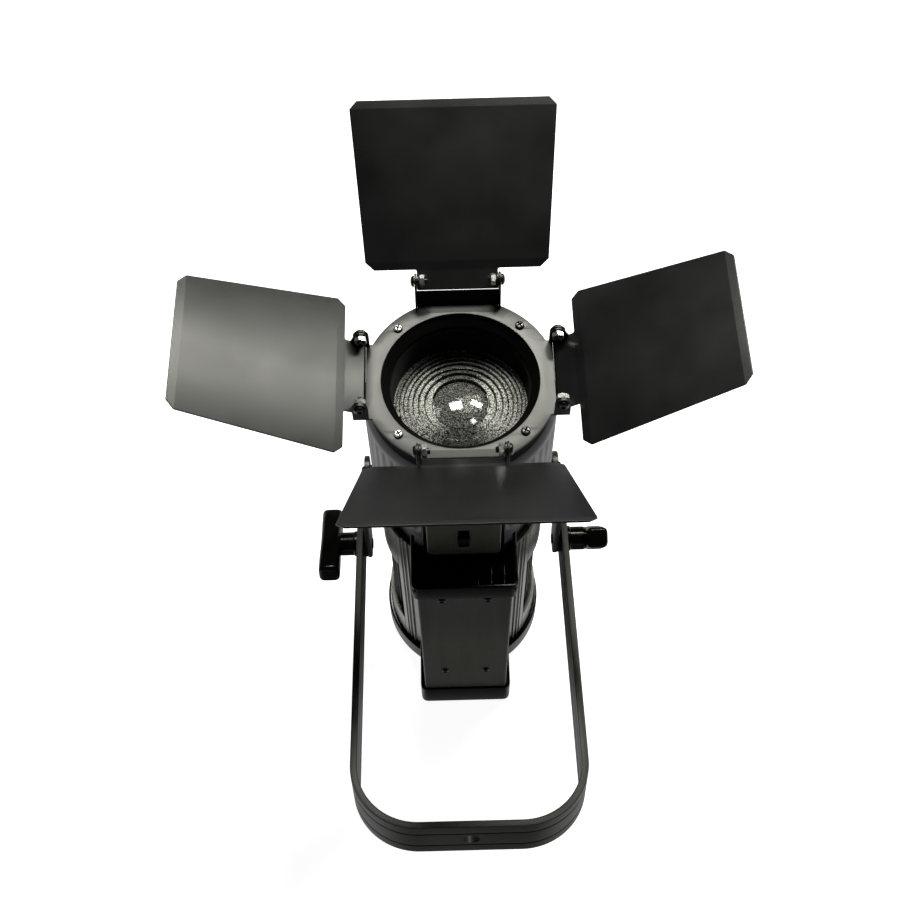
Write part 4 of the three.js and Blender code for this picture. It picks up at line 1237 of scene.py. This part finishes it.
for hinge in HINGES:
    name = hinge[0]
    for end, sign in (("a", 1), ("b", -1)):
        outward = turn(90 * sign, "Y")
        head = TAB_HALF + 2 * GAP + SHEET
        tip = TAB_HALF - SHEET - 5.6
        screw = moved(button_screw(1.9, head - tip), shift(0, 0, head), outward)
        piece(f"pivot_screw_{name}_{end}", to_side(screw, hinge), SCREW_BLACK, "black_screw",
              "housing", f"hinge_screw_{name}_{end}", smooth=40)
        nut_foot = TAB_HALF - SHEET - GAP - NUT_T
        nut = moved(hex_nut(), turn(20, "Z"), shift(0, 0, nut_foot), outward)
        piece(f"pivot_nut_{name}_{end}", to_side(nut, hinge), ZINC, "zinc", "housing",
              f"hinge_nut_{name}_{end}", smooth=28)

for i, (x, y) in enumerate(frame_screw_places()):
    screw = moved(cross_screw(2.85, 1.5, 9), turn(40 * i, "Z"), shift(x, y, PLATE_TOP + 0.3))
    # the right-hand plate screws get the darker copy of the zinc plating, as painted shade
    finish = (CROSS_ZINC_SHADED, "black_screw") if x > 0 else (CROSS_ZINC, "zinc")
    piece(f"plate_screw_{i + 1}", screw, *finish, "housing", f"frame_screw_{i + 1}", smooth=40)

for i, (x, z) in enumerate(BOX_SCREWS):
    screw = moved(cross_screw(2.6, 1.5, 4.5), turn(25 * i, "Z"), turn(90, "X"))
    moved(screw, shift(x, BOX_FRONT - 0.3, z))
    piece(f"case_screw_{i + 1}", screw, SCREW_BLACK, "black_screw", "housing",
          f"box_screw_{i + 1}", smooth=40)

for label, side in SIDES:
    for i, z in enumerate(BRACKET_SCREW_Z):
        x = BRACKET_X_TOP + BRACKET_T + GAP
        mirror = Matrix.Scale(side, 4, (1, 0, 0))
        screw = moved(button_screw(2, 17.5), turn(90, "Y"), shift(x, 0, z), mirror)
        piece(f"strap_screw_{label}_{i + 1}", screw, SCREW_BLACK, "black_screw", "housing",
              f"bracket_screw_{label}_{i + 1}", smooth=40)

paint_node("power_inlet", MATTE_PLASTIC)
paint_node("focus_slider", COLLAR_PAINT)
paint_node("lens_retainer", BAFFLE_BLACK)
paint_node("led_module", PHOSPHOR)
for node in ("lamp_carriage", "reflector", "cooling_core", "led_driver"):
    paint_node(node, BARE_ALUMINIUM)
for node in ("guide_rod_left", "guide_rod_right"):
    paint_node(node, GROUND_STEEL)


# ---- floor and light ----
def make_floor():
    bm = bmesh.new()
    bmesh.ops.create_grid(bm, x_segments=8, y_segments=8, size=4)
    mesh = bpy.data.meshes.new("floor")
    bm.to_mesh(mesh)
    bm.free()
    n = Nodes("floor_paper")
    n.colours(n.between(n.noise(300, 3), 0, 1), (0.80, 0.80, 0.80), (0.84, 0.84, 0.84))
    n.set(Roughness=0.9, Specular_IOR_Level=0.1)
    n.set(Emission_Color=(1, 1, 1, 1), Emission_Strength=0.94)
    mesh.materials.append(n.material)
    floor = bpy.data.objects.new("floor", mesh)
    floor.location = (0, 0, cad_bounds[0][2] - 0.0005)
    floor.visible_glossy = False
    bpy.context.scene.collection.objects.link(floor)


def area_light(name, place, target, width, height, radiance):
    data = bpy.data.lights.new(name, "AREA")
    data.shape = "RECTANGLE"
    data.size = width
    data.size_y = height
    data.energy = radiance * 4 * width * height
    data.color = (1.0, 1.0, 0.9)
    light = bpy.data.objects.new(name, data)
    light.location = place
    light.rotation_euler = (Vector(target) - Vector(place)).to_track_quat("-Z", "Y").to_euler()
    light.visible_camera = False
    bpy.context.scene.collection.objects.link(light)


def make_world():
    """A pale room: dim overhead and in front of the belly, bright to both sides and at the
    horizon."""
    world = bpy.data.worlds.new("studio")
    world.use_nodes = True
    tree = world.node_tree
    split = tree.nodes.new("ShaderNodeSeparateXYZ")
    place = tree.nodes.new("ShaderNodeTexCoord").outputs["Generated"]
    tree.links.new(place, split.inputs[0])

    def ramp(value, start, end, low, high):
        node = tree.nodes.new("ShaderNodeMapRange")
        node.interpolation_type = "SMOOTHSTEP"
        set_range(node, start, end, low, high)
        tree.links.new(value, node.inputs["Value"])
        return node.outputs["Result"]

    def math_node(operation, a, b):
        node = tree.nodes.new("ShaderNodeMath")
        node.operation = operation
        tree.links.new(a, node.inputs[0])
        tree.links.new(b, node.inputs[1])
        return node.outputs[0]

    x, y, z = split.outputs
    side = ramp(math_node("MULTIPLY", x, x), 0.0, 0.25, 0.1, 0.85)
    below = math_node("ADD", side, ramp(y, -0.2, 0.45, 0.0, 0.25))
    horizon = ramp(z, -0.4, 0.0, 0.0, 0.8)
    bright = math_node("MAXIMUM", below, horizon)
    above = ramp(z, -0.1, 0.16, 1.0, 0.045)
    total = math_node("MULTIPLY", bright, above)
    tree.links.new(total, tree.nodes["Background"].inputs["Strength"])
    tree.nodes["Background"].inputs["Color"].default_value = (1, 1, 1, 1)
    bpy.context.scene.world = world


KEY_TARGET = Vector((0, 0, 0.36))
KEY_DISTANCE = 1.5


def key_light(name, azimuth, elevation, width, height, radiance):
    """A small bright panel facing the lens; its azimuth is turned from +Y towards +X."""
    direction = Vector((
        sine(azimuth) * cosine(elevation), cosine(azimuth) * cosine(elevation), sine(elevation),
    ))
    place = KEY_TARGET + direction * KEY_DISTANCE
    area_light(name, place, KEY_TARGET, width, height, radiance)


make_floor()
make_world()
key_light("key_left", -9, 60.5, 0.31, 0.27, 50)
key_light("key_right", 27.7, 53.9, 0.27, 0.16, 58)
key_light("key_side", 46.7, 40, 0.36, 0.36, 17)
key_light("key_top", 52, 73, 0.14, 0.14, 20)

bpy.context.scene.view_settings.view_transform = "Standard"
